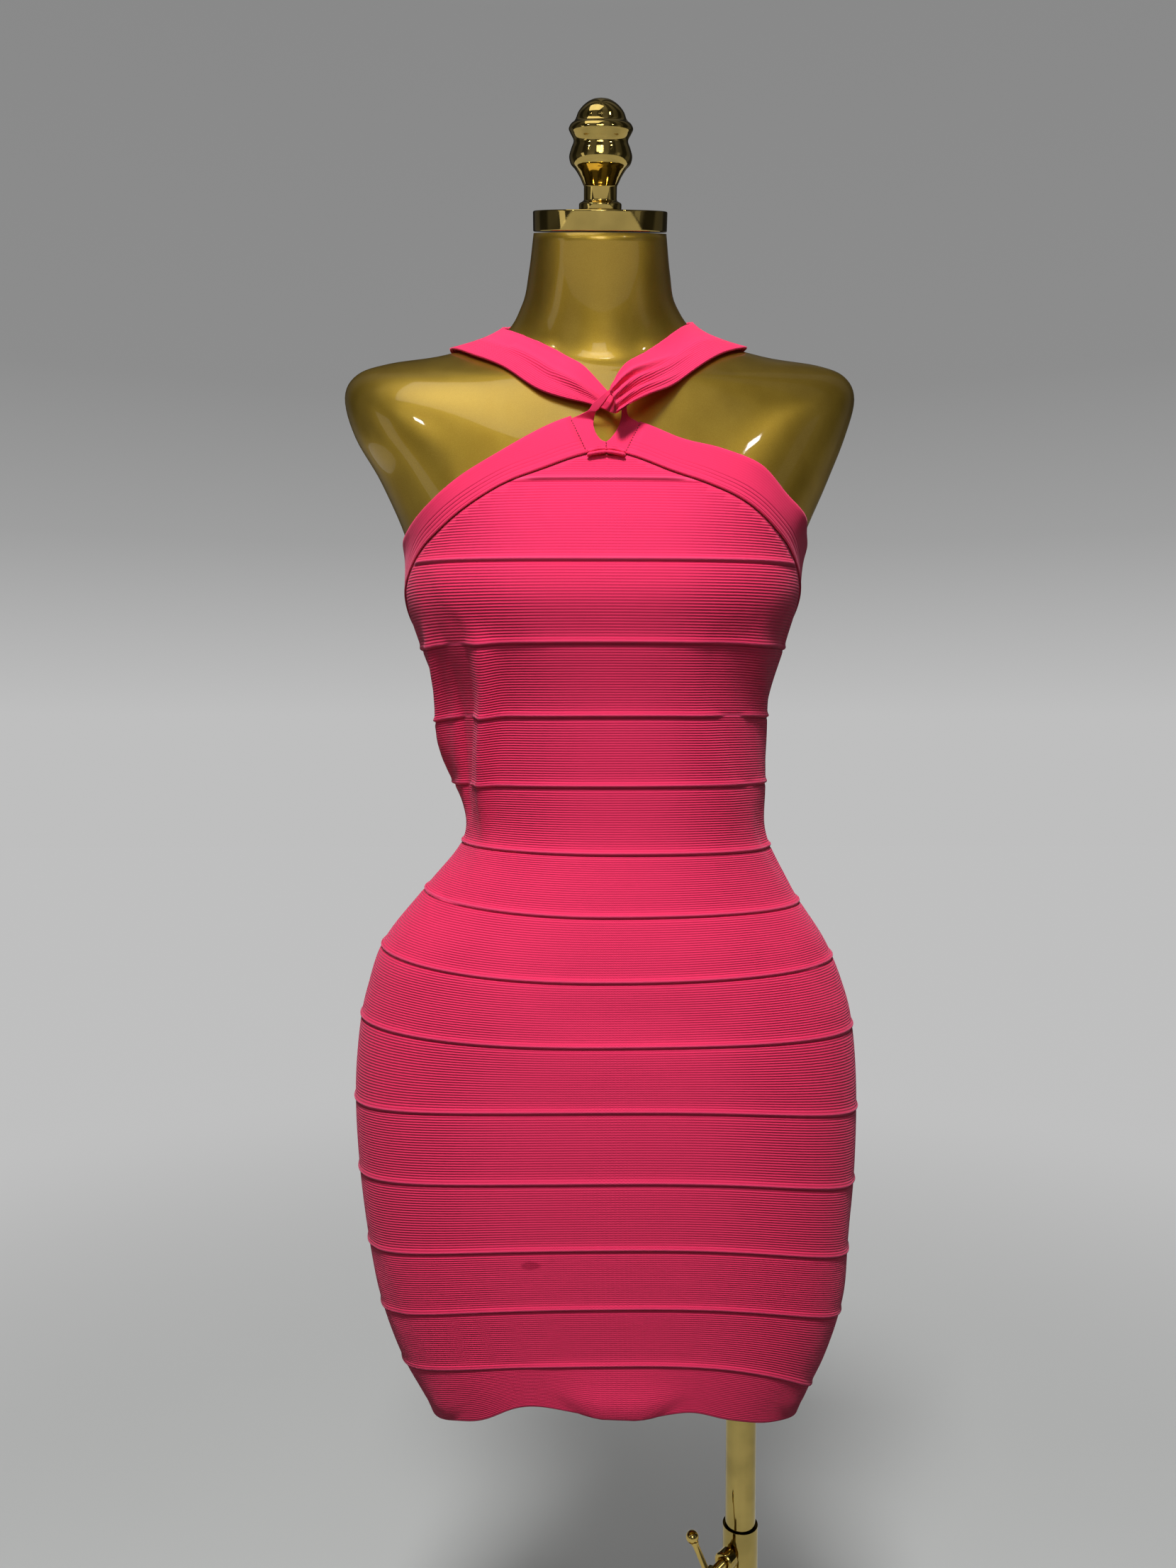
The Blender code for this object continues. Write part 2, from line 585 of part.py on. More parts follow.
def make_cap_and_finial():
    """The polished disc on the neck and the turned finial on it, both tilted forward with the neck."""
    half = CAP_THICK / 2
    side = half - CAP_BEVEL
    face = CAP_RADIUS - CAP_BEVEL
    rim = ((half, 0), (half, face), (side, CAP_RADIUS), (-side, CAP_RADIUS), (-half, face), (-half, 0))
    cap = turned("neck_cap", rim, "fittings_gold", 40)
    finial = turned("finial", FINIAL_PROFILE, "fittings_gold", 24)
    tilt = Matrix.Rotation(NECK_TILT, 4, "X")
    cap.matrix_world = Matrix.Translation(CAP_CENTRE) @ tilt
    finial.matrix_world = cap.matrix_world @ Matrix.Translation((0, 0, half))


def make_pole():
    rod("upper_tube", UPPER_RADIUS, (POLE_X, 0, UPPER_LOW), (POLE_X, 0, UPPER_TOP), "fittings_gold", 24)
    gap = SEAM_GAP
    socket_top = FORM_LOW - gap
    for name, low, top, outer, bore, finish in (
        ("pole_socket", SOCKET_LOW, socket_top, SOCKET_RADIUS, BORE_RADIUS, "form_gold"),
        ("lower_tube", BASE_THICK + gap, LOWER_TOP, LOWER_RADIUS, BORE_RADIUS, "fittings_gold"),
        ("base_flange", BASE_THICK + gap, FLANGE_TOP, FLANGE_RADIUS, LOWER_RADIUS + gap, "base_gold"),
    ):
        turned(name, ring_profile(low, top, outer, bore), finish, 24).location.x = POLE_X
    top, bevel = BASE_THICK, BASE_BEVEL
    base = ((top, 0), (top, BASE_RADIUS - bevel), (top - bevel, BASE_RADIUS), (0, BASE_RADIUS), (0, 0))
    turned("base_plate", base, "base_gold", 64)


def make_clamp():
    """The screw that grips the upper tube, with its boss and its ball-ended bar."""
    heading = Vector((math.cos(CLAMP_HEADING), math.sin(CLAMP_HEADING), 0))
    axis_point = Vector((POLE_X, 0, CLAMP_Z))

    def along_screw(name, radius, start, end, sides):
        ends = (axis_point + heading * start, axis_point + heading * end)
        return rod(name, radius, *ends, "fittings_gold", sides)

    boss = along_screw("clamp_boss", BOSS_RADIUS, LOWER_RADIUS + BOSS_GAP, LOWER_RADIUS + BOSS_LENGTH, 16)
    hole = along_screw("clamp_hole", SCREW_RADIUS + SEAM_GAP, HOLE_FROM, HOLE_TO, 16)
    use(boss, hole, "DIFFERENCE")
    use(bpy.data.objects["lower_tube"], hole, "DIFFERENCE")
    screw = along_screw("clamp_screw", SCREW_RADIUS, UPPER_RADIUS + SEAM_GAP, SHANK_TO, 12)
    use(screw, along_screw("clamp_head", HEAD_RADIUS, HEAD_FROM, HEAD_TO, 16), "UNION")
    side = heading.cross(Vector((0, 0, 1))).normalized()
    along = side * math.cos(BAR_TURN) + Vector((0, 0, 1)) * math.sin(BAR_TURN)
    middle = axis_point + heading * BAR_REACH
    ends = (middle - along * BAR_LENGTH / 2, middle + along * BAR_LENGTH / 2)
    bar = rod("clamp_bar", BAR_RADIUS, *ends, "fittings_gold", 10)
    use(screw, rod("bar_hole", BAR_RADIUS + SEAM_GAP, *ends, "fittings_gold", 10), "DIFFERENCE")
    for number, end in enumerate(ends):
        bm = bmesh.new()
        bmesh.ops.create_uvsphere(bm, u_segments=12, v_segments=8, radius=BALL_RADIUS)
        bm.transform(Matrix.Translation(end))
        use(bar, from_bmesh(f"bar_ball_{number}", bm, "fittings_gold"), "UNION")


def main():
    tree = figure_tree()
    make_dress(tree)
    make_form()
    make_cap_and_finial()
    make_pole()
    make_clamp()


clear_scene()
COLLECTION = bpy.data.collections.new("bodycon_dress_on_form")
CUTTERS = bpy.data.collections.new("cutters")
bpy.context.scene.collection.children.link(COLLECTION)
bpy.context.scene.collection.children.link(CUTTERS)
main()
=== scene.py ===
"""Looks of a ribbed knit bodycon dress on a gold dress form with a telescopic pole.

Metres, +Z up, in the frame of the solid model. The front is towards -Y.
Angles go round the figure in degrees: 0 is the front, 90 the +X side, 180 the back.
"""

import math

import bmesh
import bpy
import numpy as np
from mathutils import Matrix, Vector
from mathutils.bvhtree import BVHTree


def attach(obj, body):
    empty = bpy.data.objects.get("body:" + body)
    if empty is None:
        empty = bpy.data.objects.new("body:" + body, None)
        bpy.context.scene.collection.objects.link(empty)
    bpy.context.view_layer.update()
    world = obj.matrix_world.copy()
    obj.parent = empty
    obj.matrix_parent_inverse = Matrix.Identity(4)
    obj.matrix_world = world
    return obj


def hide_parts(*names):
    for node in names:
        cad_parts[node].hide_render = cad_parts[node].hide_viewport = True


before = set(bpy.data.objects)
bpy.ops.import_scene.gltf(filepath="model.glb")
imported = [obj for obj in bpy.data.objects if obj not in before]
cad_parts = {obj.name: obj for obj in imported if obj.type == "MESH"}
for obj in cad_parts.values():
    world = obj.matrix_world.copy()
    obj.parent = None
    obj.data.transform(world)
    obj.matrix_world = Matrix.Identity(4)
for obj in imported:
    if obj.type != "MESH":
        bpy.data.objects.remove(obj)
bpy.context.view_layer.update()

# ---------------------------------------------------------------- sizes

# Cloth
AIR = 0.0012  # between the form and the cloth
PANEL_WALL = 0.0015
BAND_WALL = 0.0021
STRAP_WALL = 0.0016
LOOP_WALL = 0.0016
SEAM_GAP = 0.0003
ROW_SNAP = 0.0012  # a row this near the neckline ends on it
ROLL_FADE = 0.004  # a roll flattens over this height under the neckline
BACK_DROP = 0.004  # the strips sit this much lower behind than at the sides
RIBS = 28  # ribs in a strip
RIB = 0.0017  # from one rib to the next, along the cloth
STITCH = 0.0013  # from one column of stitches to the next
STRIP = RIBS * RIB
GIRTH = 0.155  # radius at which a turn round the figure is measured along the cloth

# Form
FORM_ABOVE = 0.66  # the form fills the cloth above this height
NECK_TILT = math.radians(21)
CAP_RADIUS = 0.0483
CAP_THICK = 0.0135
CAP_CENTRE = (-0.004, -0.0352, 1.4678)
FORM_COLUMNS = 160

# Stand
POLE_X = 0.110
UPPER_RADIUS = 0.012
UPPER_LOW, UPPER_TOP = 0.160, 0.6244
BORE_RADIUS = 0.0125
LOWER_RADIUS = 0.014
LOWER_TOP = 0.466
MOUTH_WIDER = 0.0011  # the lower tube's bore is wider by this at its mouth
SOCKET_RADIUS = 0.021
SOCKET_LOW, SOCKET_TOP = 0.600, 0.6247
BASE_RADIUS = 0.190
BASE_THICK = 0.006
FLANGE_RADIUS = 0.030
FLANGE_TOP = 0.018
CLAMP_Z = 0.447
CLAMP_HEADING = math.radians(230)
BOSS_RADIUS = 0.008
BOSS_LENGTH = 0.012
SCREW_RADIUS = 0.004
HEAD_RADIUS = 0.0065
HEAD_FROM, HEAD_TO = 0.038, 0.052
BAR_REACH = 0.045
BAR_LENGTH = 0.060
BAR_RADIUS = 0.0025
BALL_RADIUS = 0.005
BAR_TURN = math.radians(58)
THREAD_PITCH = 0.0012
THREAD_DEEP = 0.0005

# The figure, from the hem to the neck
TORSO_RINGS = (
    # height, half width, sideways, front, back, corner
    (0.560, 0.1350, 0.009, -0.072, 0.076, 2.7),
    (0.590, 0.1465, 0.009, -0.076, 0.083, 2.7),
    (0.624, 0.1635, 0.008, -0.081, 0.090, 2.7),
    (0.663, 0.1765, 0.007, -0.086, 0.097, 2.65),
    (0.701, 0.1825, 0.005, -0.091, 0.103, 2.6),
    (0.764, 0.1885, 0.003, -0.097, 0.113, 2.5),
    (0.826, 0.1905, 0.002, -0.101, 0.122, 2.4),
    (0.876, 0.1870, 0.002, -0.102, 0.124, 2.3),
    (0.907, 0.1800, 0.0015, -0.100, 0.117, 2.25),
    (0.941, 0.1665, 0.0005, -0.097, 0.104, 2.2),
    (0.981, 0.1370, 0.003, -0.091, 0.087, 2.1),
    (1.020, 0.1127, 0.0085, -0.086, 0.075, 2.1),
    (1.060, 0.1130, 0.008, -0.088, 0.075, 2.1),
    (1.120, 0.1190, 0.003, -0.096, 0.084, 2.15),
    (1.168, 0.1355, -0.001, -0.108, 0.092, 2.3),
    (1.200, 0.1445, -0.0015, -0.114, 0.096, 2.4),
    (1.238, 0.1470, 0.000, -0.106, 0.098, 2.45),
)
SHOULDER_RINGS = (
    # side height, half width, sideways, side y, front y and height, back y and height, corner, fold
    (1.285, 0.1665, 0.000, 0.002, -0.092, 1.275, 0.097, 1.280, 2.6, 2.0),
    (1.320, 0.1835, -0.003, 0.006, -0.082, 1.305, 0.092, 1.310, 2.8, 2.0),
    (1.350, 0.1915, -0.003, 0.010, -0.074, 1.325, 0.084, 1.335, 2.9, 2.0),
    (1.368, 0.1840, -0.002, 0.012, -0.068, 1.338, 0.077, 1.352, 2.8, 2.0),
    (1.3765, 0.1620, 0.000, 0.010, -0.063, 1.348, 0.070, 1.366, 2.6, 1.9),
    (1.3835, 0.1200, 0.000, 0.007, -0.059, 1.356, 0.062, 1.380, 2.4, 1.7),
    (1.398, 0.0750, -0.002, 0.000, -0.056, 1.366, 0.052, 1.395, 2.2, 1.4),
    (1.418, 0.0575, -0.004, -0.008, -0.058, 1.385, 0.040, 1.422, 2.1, 1.2),
    (1.438, 0.0520, -0.004, -0.018, -0.065, 1.412, 0.027, 1.450, 2.0, 1.0),
    (1.4605, 0.0480, -0.004, -0.0326, -0.0774, 1.4435, 0.0122, 1.4775, 2.0, 1.0),
)
# The form's rounded foot: height, inset
FORM_FOOT = ((0.625, 0.026), (0.6256, 0.021), (0.629, 0.0135), (0.637, 0.0075), (0.650, 0.003))

# Heights of the rolled seams between the knitted strips, at the front, the left side and the right side
ROLLS = (
    (0.647, 0.621, 0.598), (0.692, 0.664, 0.655), (0.737, 0.713, 0.703), (0.7865, 0.769, 0.757),
    (0.838, 0.823, 0.814), (0.8835, 0.886, 0.877), (0.928, 0.938, 0.929), (0.9725, 0.980, 0.970),
    (1.016, 1.0165, 1.013), (1.064, 1.063, 1.063), (1.113, 1.113, 1.113), (1.163, 1.164, 1.164),
    (1.2166, 1.222, 1.222), (1.273, 1.274, 1.274),
)
HEM = (0.603, 0.578, 0.576)
TOP = (1.320, 1.322, 1.322)  # where the next roll would be, above the neckline
HEM_FLARE = 0.045  # the hem's waves fade out this far above it

# Soft swells that lift the cloth off the form: where, how far out, and their half extents
SWELLS = (
    # degrees, height, out, half degrees, half height
    (-84, 1.095, 0.008, 26, 0.045),
    (-30, 0.905, 0.002, 18, 0.030),
    (84, 1.000, 0.002, 20, 0.030),
    (168, 1.030, 0.012, 34, 0.070),
    (180, 0.740, 0.003, 40, 0.050),
)
HEM_WAVES = (
    # degrees, out, half degrees
    (-23, -0.0045, 12), (0, 0.0080, 9), (27, -0.0045, 13), (-54, 0.0045, 12), (58, 0.0035, 11),
    (84, -0.0030, 9), (118, 0.0040, 14), (162, 0.0060, 16), (-152, 0.0050, 15), (-112, 0.0050, 13),
)
HEM_RISES = (
    # degrees, how much higher the hem is, half degrees
    (-17, 0.0120, 13), (2, -0.0010, 7), (13, 0.0055, 8), (39, -0.0020, 12), (-48, 0.0010, 10),
    (112, 0.0040, 15), (160, -0.0030, 14), (-150, 0.0045, 15), (-110, -0.0025, 13),
)

# The neckline bands: where each cross line meets the lower and the upper edge
LEFT_BAND = (
    # degrees and height at the lower edge, then at the upper edge
    (-1.8, 1.2900, -2.6, 1.3182), (-9, 1.2805, -9.5, 1.3050), (-18, 1.2715, -17, 1.2935),
    (-30, 1.2585, -30, 1.2785), (-45, 1.2430, -47, 1.2605), (-60, 1.2280, -66, 1.2465),
    (-75, 1.2070, -80, 1.2370), (-90, 1.1830, -90, 1.2230),
)
RIGHT_BAND = (
    (1.8, 1.2900, 3.3, 1.3143), (9, 1.2790, 10, 1.3030), (18, 1.2705, 19, 1.2965),
    (30, 1.2600, 31, 1.2860), (45, 1.2445, 46, 1.2680), (60, 1.2285, 65, 1.2515),
    (75, 1.2070, 81, 1.2370), (90, 1.1830, 90, 1.2230),
)
BACK_BAND = (
    (90, 1.1830, 90, 1.2230), (120, 1.1660, 120, 1.2060), (150, 1.1540, 150, 1.1940),
    (180, 1.1500, 180, 1.1900),
)
BAND_SEAM = 0.0005  # between a band and the panel below it

# The halter strap, from the nape round the left side, through the loop and back round the right side.
# hug is 1 where it lies on the form and 0 where it hangs free.
STRAP_ROWS = (
    # upper edge x, y, z, lower edge x, y, z, hug
    (-0.0015, 0.044, 1.4170, -0.0015, 0.065, 1.3760, 1.0),
    (-0.0330, 0.036, 1.4140, -0.0520, 0.060, 1.3780, 1.0),
    (-0.0560, 0.018, 1.4070, -0.0920, 0.043, 1.3810, 1.0),
    (-0.0730, -0.004, 1.3990, -0.1150, 0.006, 1.3835, 1.0),
    (-0.0650, -0.028, 1.3895, -0.0990, -0.033, 1.3715, 1.0),
    (-0.0480, -0.045, 1.3790, -0.0740, -0.053, 1.3585, 0.8),
    (-0.0300, -0.0570, 1.3675, -0.0461, -0.0720, 1.3390, 0.3),
    (-0.0160, -0.0695, 1.3560, -0.0279, -0.0765, 1.3320, 0.0),
    (-0.0075, -0.0740, 1.3460, -0.0170, -0.0785, 1.3292, 0.0),
    (-0.0005, -0.0785, 1.3370, -0.0075, -0.0805, 1.3260, 0.0),
    (0.0052, -0.0865, 1.3285, 0.0036, -0.0868, 1.3195, 0.0),
    (0.0050, -0.0925, 1.3278, 0.0054, -0.0925, 1.3183, 0.0),
    (0.0012, -0.0962, 1.3320, 0.0068, -0.0965, 1.3180, 0.0),
    (0.0046, -0.0945, 1.3405, 0.0128, -0.0958, 1.3222, 0.0),
    (0.0100, -0.0880, 1.3505, 0.0225, -0.0925, 1.3285, 0.0),
    (0.0245, -0.0700, 1.3655, 0.0405, -0.0815, 1.3395, 0.15),
    (0.0410, -0.0530, 1.3800, 0.0600, -0.0620, 1.3550, 0.8),
    (0.0540, -0.0360, 1.3930, 0.0800, -0.0430, 1.3700, 1.0),
    (0.0640, -0.0080, 1.4040, 0.1060, -0.0060, 1.3840, 1.0),
    (0.0500, 0.018, 1.4100, 0.0890, 0.043, 1.3810, 1.0),
    (0.0290, 0.036, 1.4150, 0.0500, 0.060, 1.3780, 1.0),
    (-0.0011, 0.044, 1.4170, -0.0011, 0.065, 1.3760, 1.0),
)
STRAP_CLEAR = 0.0040  # from the form to the strap's outer face

# The keyhole piece, from its centre seam up the left side, over as the loop and down the right side
LOOP_ROWS = (
    # edge along the keyhole x, y, z, edge along the bands x, y, z, hug
    (-0.00122, -0.087, 1.3000, -0.00122, -0.087, 1.2920, 1.0),
    (-0.00450, -0.087, 1.3015, -0.00800, -0.087, 1.2918, 1.0),
    (-0.00700, -0.086, 1.3045, -0.01490, -0.087, 1.2914, 1.0),
    (-0.00900, -0.085, 1.3090, -0.01910, -0.086, 1.3010, 1.0),
    (-0.00980, -0.084, 1.3130, -0.02240, -0.084, 1.3095, 1.0),
    (-0.00960, -0.0825, 1.3165, -0.02490, -0.0815, 1.3174, 1.0),
    (-0.00900, -0.0840, 1.3190, -0.01880, -0.0825, 1.3198, 0.4),
    (-0.00800, -0.0855, 1.3206, -0.01330, -0.0840, 1.3219, 0.0),
    (-0.00600, -0.0870, 1.3225, -0.01050, -0.0858, 1.3258, 0.0),
    (-0.00300, -0.0890, 1.3258, -0.00600, -0.0880, 1.3292, 0.0),
    (0.00000, -0.0905, 1.3297, -0.00100, -0.0902, 1.3328, 0.0),
    (0.00260, -0.0898, 1.3320, 0.00180, -0.0895, 1.3350, 0.0),
    (0.00600, -0.0865, 1.3325, 0.00620, -0.0860, 1.3358, 0.0),
    (0.00850, -0.0830, 1.3305, 0.01100, -0.0825, 1.3333, 0.0),
    (0.00960, -0.0808, 1.3270, 0.01320, -0.0802, 1.3285, 0.0),
    (0.00980, -0.0806, 1.3238, 0.01330, -0.0802, 1.3240, 0.1),
    (0.00970, -0.0818, 1.3200, 0.01450, -0.0808, 1.3192, 0.6),
    (0.00880, -0.083, 1.3165, 0.02170, -0.0815, 1.3138, 1.0),
    (0.00720, -0.084, 1.3110, 0.01720, -0.084, 1.3040, 1.0),
    (0.00460, -0.086, 1.3065, 0.01420, -0.086, 1.2965, 1.0),
    (0.00200, -0.087, 1.3030, 0.01240, -0.087, 1.2914, 1.0),
    (-0.00118, -0.087, 1.3000, -0.00118, -0.087, 1.2920, 1.0),
)
LOOP_CLEAR = 0.0030

# The rolled bar on the seam under the keyhole: x and height of its line
BAR_ROWS = ((-0.0145, 1.2892), (-0.0080, 1.2912), (-0.0012, 1.2918), (0.0056, 1.2912), (0.0121, 1.2892))
BAR_CLEAR = 0.0048
BAR_ROLLS = (
    # height over the line, how far out, radius
    (0.00120, 0.0001, 0.00130), (-0.00120, 0.0004, 0.00140), (0.00330, -0.0014, 0.00070),
)
# The keyhole piece's seams, from x and height to x and height
KEYHOLE_SEAMS = (
    ("left", (-0.0252, 1.3176), (-0.0150, 1.2920)), ("right", (0.0220, 1.3138), (0.0126, 1.2920)),
    ("centre", (-0.0012, 1.2992), (-0.0012, 1.2926)),
)

# Round profiles of the finial: height over the cap, radius
FINIAL_PROFILE = (
    (0.0710, 0.0), (0.0700, 0.0060), (0.0670, 0.0115), (0.0625, 0.0158), (0.0570, 0.0185),
    (0.0548, 0.0212), (0.0517, 0.0226), (0.0490, 0.0214), (0.0445, 0.0192), (0.0400, 0.0208),
    (0.0342, 0.0223), (0.0300, 0.0212), (0.0265, 0.0180), (0.0215, 0.0146), (0.0170, 0.0124),
    (0.0160, 0.0118), (0.0069, 0.0118), (0.0050, 0.0153), (0.0005, 0.0153),
)
FINIAL_CURVED = 14  # the profile's points that lie on one smooth curve

# ---------------------------------------------------------------- detail of the cloth

# A roll's section: height over its line, and how far it stands out
ROLL_SECTION = (
    (-0.0050, 0.0), (-0.0034, -0.0001), (-0.0024, -0.0004), (-0.0018, -0.0005), (-0.0013, -0.0002),
    (-0.0009, 0.0005), (-0.0004, 0.0010), (0.0003, 0.0012), (0.0010, 0.0010), (0.0018, 0.0005),
    (0.0028, 0.0002), (0.0044, 0.0),
)
PLAIN_ROWS = 8  # rows between two rolls
HEM_OFFSETS = (0.0, 0.0008, 0.0018, 0.0030, 0.0042)  # rows just over the hem
TOP_PARTS = (0.15, 0.21, 0.28, 0.36)  # rows above the last roll

# Creases of the worn cloth: a soft trough (out below 0) or ridge along a line on the figure
CREASES = (
    # from degrees, height, to degrees, height, out, half width
    (-46, 1.176, -74, 1.042, -0.0100, 0.0100),
    (-63, 1.172, -90, 1.058, 0.0072, 0.0095),
    (-36, 1.166, -60, 1.030, 0.0082, 0.0110),
    (-58, 1.212, -46, 1.150, -0.0016, 0.012),
    (-22, 1.166, -44, 1.080, -0.0012, 0.018),
    (30, 1.166, 62, 1.050, -0.0026, 0.018),
    (46, 1.170, 80, 1.090, 0.0024, 0.014),
    (66, 1.180, 84, 1.110, -0.0016, 0.010),
    (20, 1.140, 46, 1.035, 0.0010, 0.016),
    (64, 1.050, 78, 0.985, -0.0018, 0.014),
    (-74, 1.020, -48, 0.960, -0.0016, 0.016),
    (-30, 0.960, -62, 0.905, 0.0012, 0.018),
    (44, 0.965, 70, 0.900, -0.0012, 0.016),
    (-10, 0.905, 26, 0.890, -0.0010, 0.016),
    (70, 0.760, 84, 0.690, -0.0010, 0.016),
    (-72, 0.720, -58, 0.660, -0.0010, 0.014),
    (112, 1.135, 150, 1.075, -0.0040, 0.013),
    (104, 1.080, 140, 1.035, 0.0016, 0.012),
    (150, 1.050, 196, 1.040, -0.0060, 0.012),
    (158, 1.012, 206, 1.004, -0.0042, 0.010),
    (176, 1.082, 228, 1.074, -0.0038, 0.012),
    (226, 1.130, 250, 1.060, -0.0030, 0.013),
    (130, 0.985, 118, 0.930, -0.0018, 0.016),
    (232, 0.985, 246, 0.925, -0.0018, 0.016),
    (150, 0.770, 206, 0.762, -0.0018, 0.018),
    (196, 0.700, 236, 0.690, -0.0014, 0.016),
)
# The band's free edge stands off the form in soft waves: where, how far out, half width
BAND_WAVES = (
    (-76, 0.0016, 9), (-44, 0.0010, 10), (31, 0.0022, 7), (47, -0.0004, 5), (60, 0.0030, 8), (80, 0.0022, 7),
    (112, 0.0012, 12), (166, 0.0016, 14), (214, 0.0014, 12), (250, 0.0010, 9),
)
BAND_LIP = 0.0007  # the band's lower edge stands up this far over the seam
BAND_TUCK = 0.0009
BAND_EDGE_ROLL = 0.0006  # its free edge turns in this far
HEM_CURL = 0.0045  # how far the hem turns in
HEM_CURL_HEIGHT = 0.016

STAIN = (-0.0355, 0.7245)  # how far round from the front, and its height
STAIN_TURN = -13  # the angle at which its height is read
STAIN_SIZE = (0.0062, 0.0040)


# ---------------------------------------------------------------- surfaces


def curve(places, values, at):
    """Values between a table's rows, on a smooth curve through them. A table has a column for each value."""
    places, values, at = (np.asarray(item, float) for item in (places, values, at))
    slopes = np.gradient(values, places, axis=0)
    i = np.clip(np.searchsorted(places, at, side="right") - 1, 0, len(places) - 2)
    step = (places[i + 1] - places[i])[..., None]
    t = (at[..., None] - places[i, None]) / step
    near = (1 + 2 * t) * (1 - t) ** 2 * values[i] + t * (1 - t) ** 2 * step * slopes[i]
    return near + t * t * (3 - 2 * t) * values[i + 1] + t * t * (t - 1) * step * slopes[i + 1]


def figure_rings():
    """The table of rings: side z, half width, side x and y, front y and z, back y and z, corner, fold."""
    torso = [(z, w, x, 0, front, z, back, z, corner, 1) for z, w, x, front, back, corner in TORSO_RINGS]
    return np.array(torso + [tuple(row) for row in SHOULDER_RINGS], float)


RINGS = figure_rings()
FINE_STEPS = 24
FOOT_RING = 3  # the ring from which the form follows the table, over its foot
STRIP_RING = 12  # the lowest ring that a strip can touch
FINE_RINGS = curve(
    np.arange(len(RINGS)), RINGS, np.linspace(0, len(RINGS) - 1, (len(RINGS) - 1) * FINE_STEPS + 1)
)


def on_ring(rings, degrees):
    """Points on rings, at the same number of angles."""
    z, width, x, y, front_y, front_z, back_y, back_z, corner, fold = np.moveaxis(rings, -1, 0)
    turn = np.radians(degrees)
    across, along = np.sin(turn), np.cos(turn)
    reach = np.abs(along) ** (2 / corner)
    ahead = along > 0
    return np.stack(
        [
            x + width * np.sign(across) * np.abs(across) ** (2 / corner),
            y + (np.where(ahead, front_y, back_y) - y) * reach,
            z + (np.where(ahead, front_z, back_z) - z) * reach**fold,
        ],
        axis=-1,
    )


def figure_at(degrees, heights):
    """Points of the figure at one angle and several heights."""
    line = on_ring(FINE_RINGS, np.full(len(FINE_RINGS), float(degrees)))
    return np.stack([np.interp(heights, line[:, 2], line[:, axis]) for axis in range(3)], axis=-1)


def outward(degrees, heights):
    """Unit normals of the figure at one angle and several heights."""
    turn, rise = 1.5, 0.004
    round_it = figure_at(degrees + turn, heights) - figure_at(degrees - turn, heights)
    up_it = figure_at(degrees, heights + rise) - figure_at(degrees, heights - rise)
    normals = np.cross(round_it, up_it)
    return normals / np.linalg.norm(normals, axis=-1, keepdims=True)


def apart(degrees, centre):
    """The angle from a centre, between -180 and 180."""
    return (np.asarray(degrees, float) - centre + 180) % 360 - 180


def bell(at, centre, half):
    return np.exp(-(((at - centre) / half) ** 2))


def side_blend(levels, degrees):
    """The height of a strip's edge at an angle, from its heights at the front, the left and the right."""
    front, left, right = levels
    side = left if apart(degrees, 0) < 0 else right
    ahead = math.cos(math.radians(degrees))
    end = front if ahead > 0 else (left + right) / 2 - BACK_DROP
    return side + (end - side) * ahead**2


def hem_at(degrees):
    """The hem's height at an angle."""
    rises = sum(rise * bell(apart(degrees, at), 0, half) for at, rise, half in HEM_RISES)
    return side_blend(HEM, degrees) + rises


def crease_at(degrees, heights):
    """The creases' height on the cloth: each is a bell across its line and fades at both ends."""
    out = np.zeros_like(heights)
    metre = math.radians(1) * GIRTH
    for turn_a, height_a, turn_b, height_b, depth, half in CREASES:
        run = np.array([(turn_b - turn_a) * metre, height_b - height_a])
        length = np.linalg.norm(run)
        run /= length
        x = apart(degrees, turn_a) * metre
        z = heights - height_a
        along = (x * run[0] + z * run[1]) / length
        across = (x * run[1] - z * run[0]) / half
        fade = np.clip(np.sin(np.pi * np.clip(along * 0.9 + 0.05, 0, 1)), 0, 1) ** 0.8
        out += depth * np.exp(-(across**2)) * fade
    return out


def lift_at(degrees, heights):
    """How far the cloth stands off its normal fit: swells, creases, and the waves and curl of the hem."""
    lift = crease_at(degrees, heights)
    for centre, height, out, half_turn, half_height in SWELLS:
        turn = apart(degrees, centre) / half_turn
        lift += out * np.exp(-(turn**2) - ((heights - height) / half_height) ** 2)
    over_hem = heights - hem_at(degrees)
    wave = sum(out * bell(apart(degrees, at), 0, half) for at, out, half in HEM_WAVES)
    lift += wave * (1 - np.clip(over_hem / HEM_FLARE, 0, 1)) ** 2
    return lift - HEM_CURL * (1 - np.clip(over_hem / HEM_CURL_HEIGHT, 0, 1)) ** 2


def cloth_at(degrees, heights, wall, proud=0.0):
    """The cloth's outer face at one angle, at several heights. It never goes into the form."""
    least = -AIR * 0.7 * (heights > FORM_ABOVE)
    away = AIR + wall + np.maximum(proud + lift_at(degrees, heights), least)
    return figure_at(degrees, heights) + outward(degrees, heights) * away[:, None]


def ring_faces(rows, columns, closed):
    """Quads over a grid of points. closed joins the last column to the first."""
    i, j = np.meshgrid(np.arange(rows - 1), np.arange(columns if closed else columns - 1), indexing="ij")
    k = (j + 1) % columns
    low, high = i * columns, (i + 1) * columns
    return np.stack([low + j, low + k, high + k, high + j], axis=-1).reshape(-1, 4).tolist()


def figure_tree():
    """A search tree over the figure, for laying strips on it."""
    turns = np.arange(-180, 180, 2.0)
    rings = FINE_RINGS[FINE_STEPS * STRIP_RING :: 3]
    grid = np.stack([on_ring(rings, np.full(len(rings), turn)) for turn in turns], axis=1)
    faces = ring_faces(*grid.shape[:2], True)
    return BVHTree.FromPolygons([Vector(point) for point in grid.reshape(-1, 3)], faces)


# ---------------------------------------------------------------- making meshes


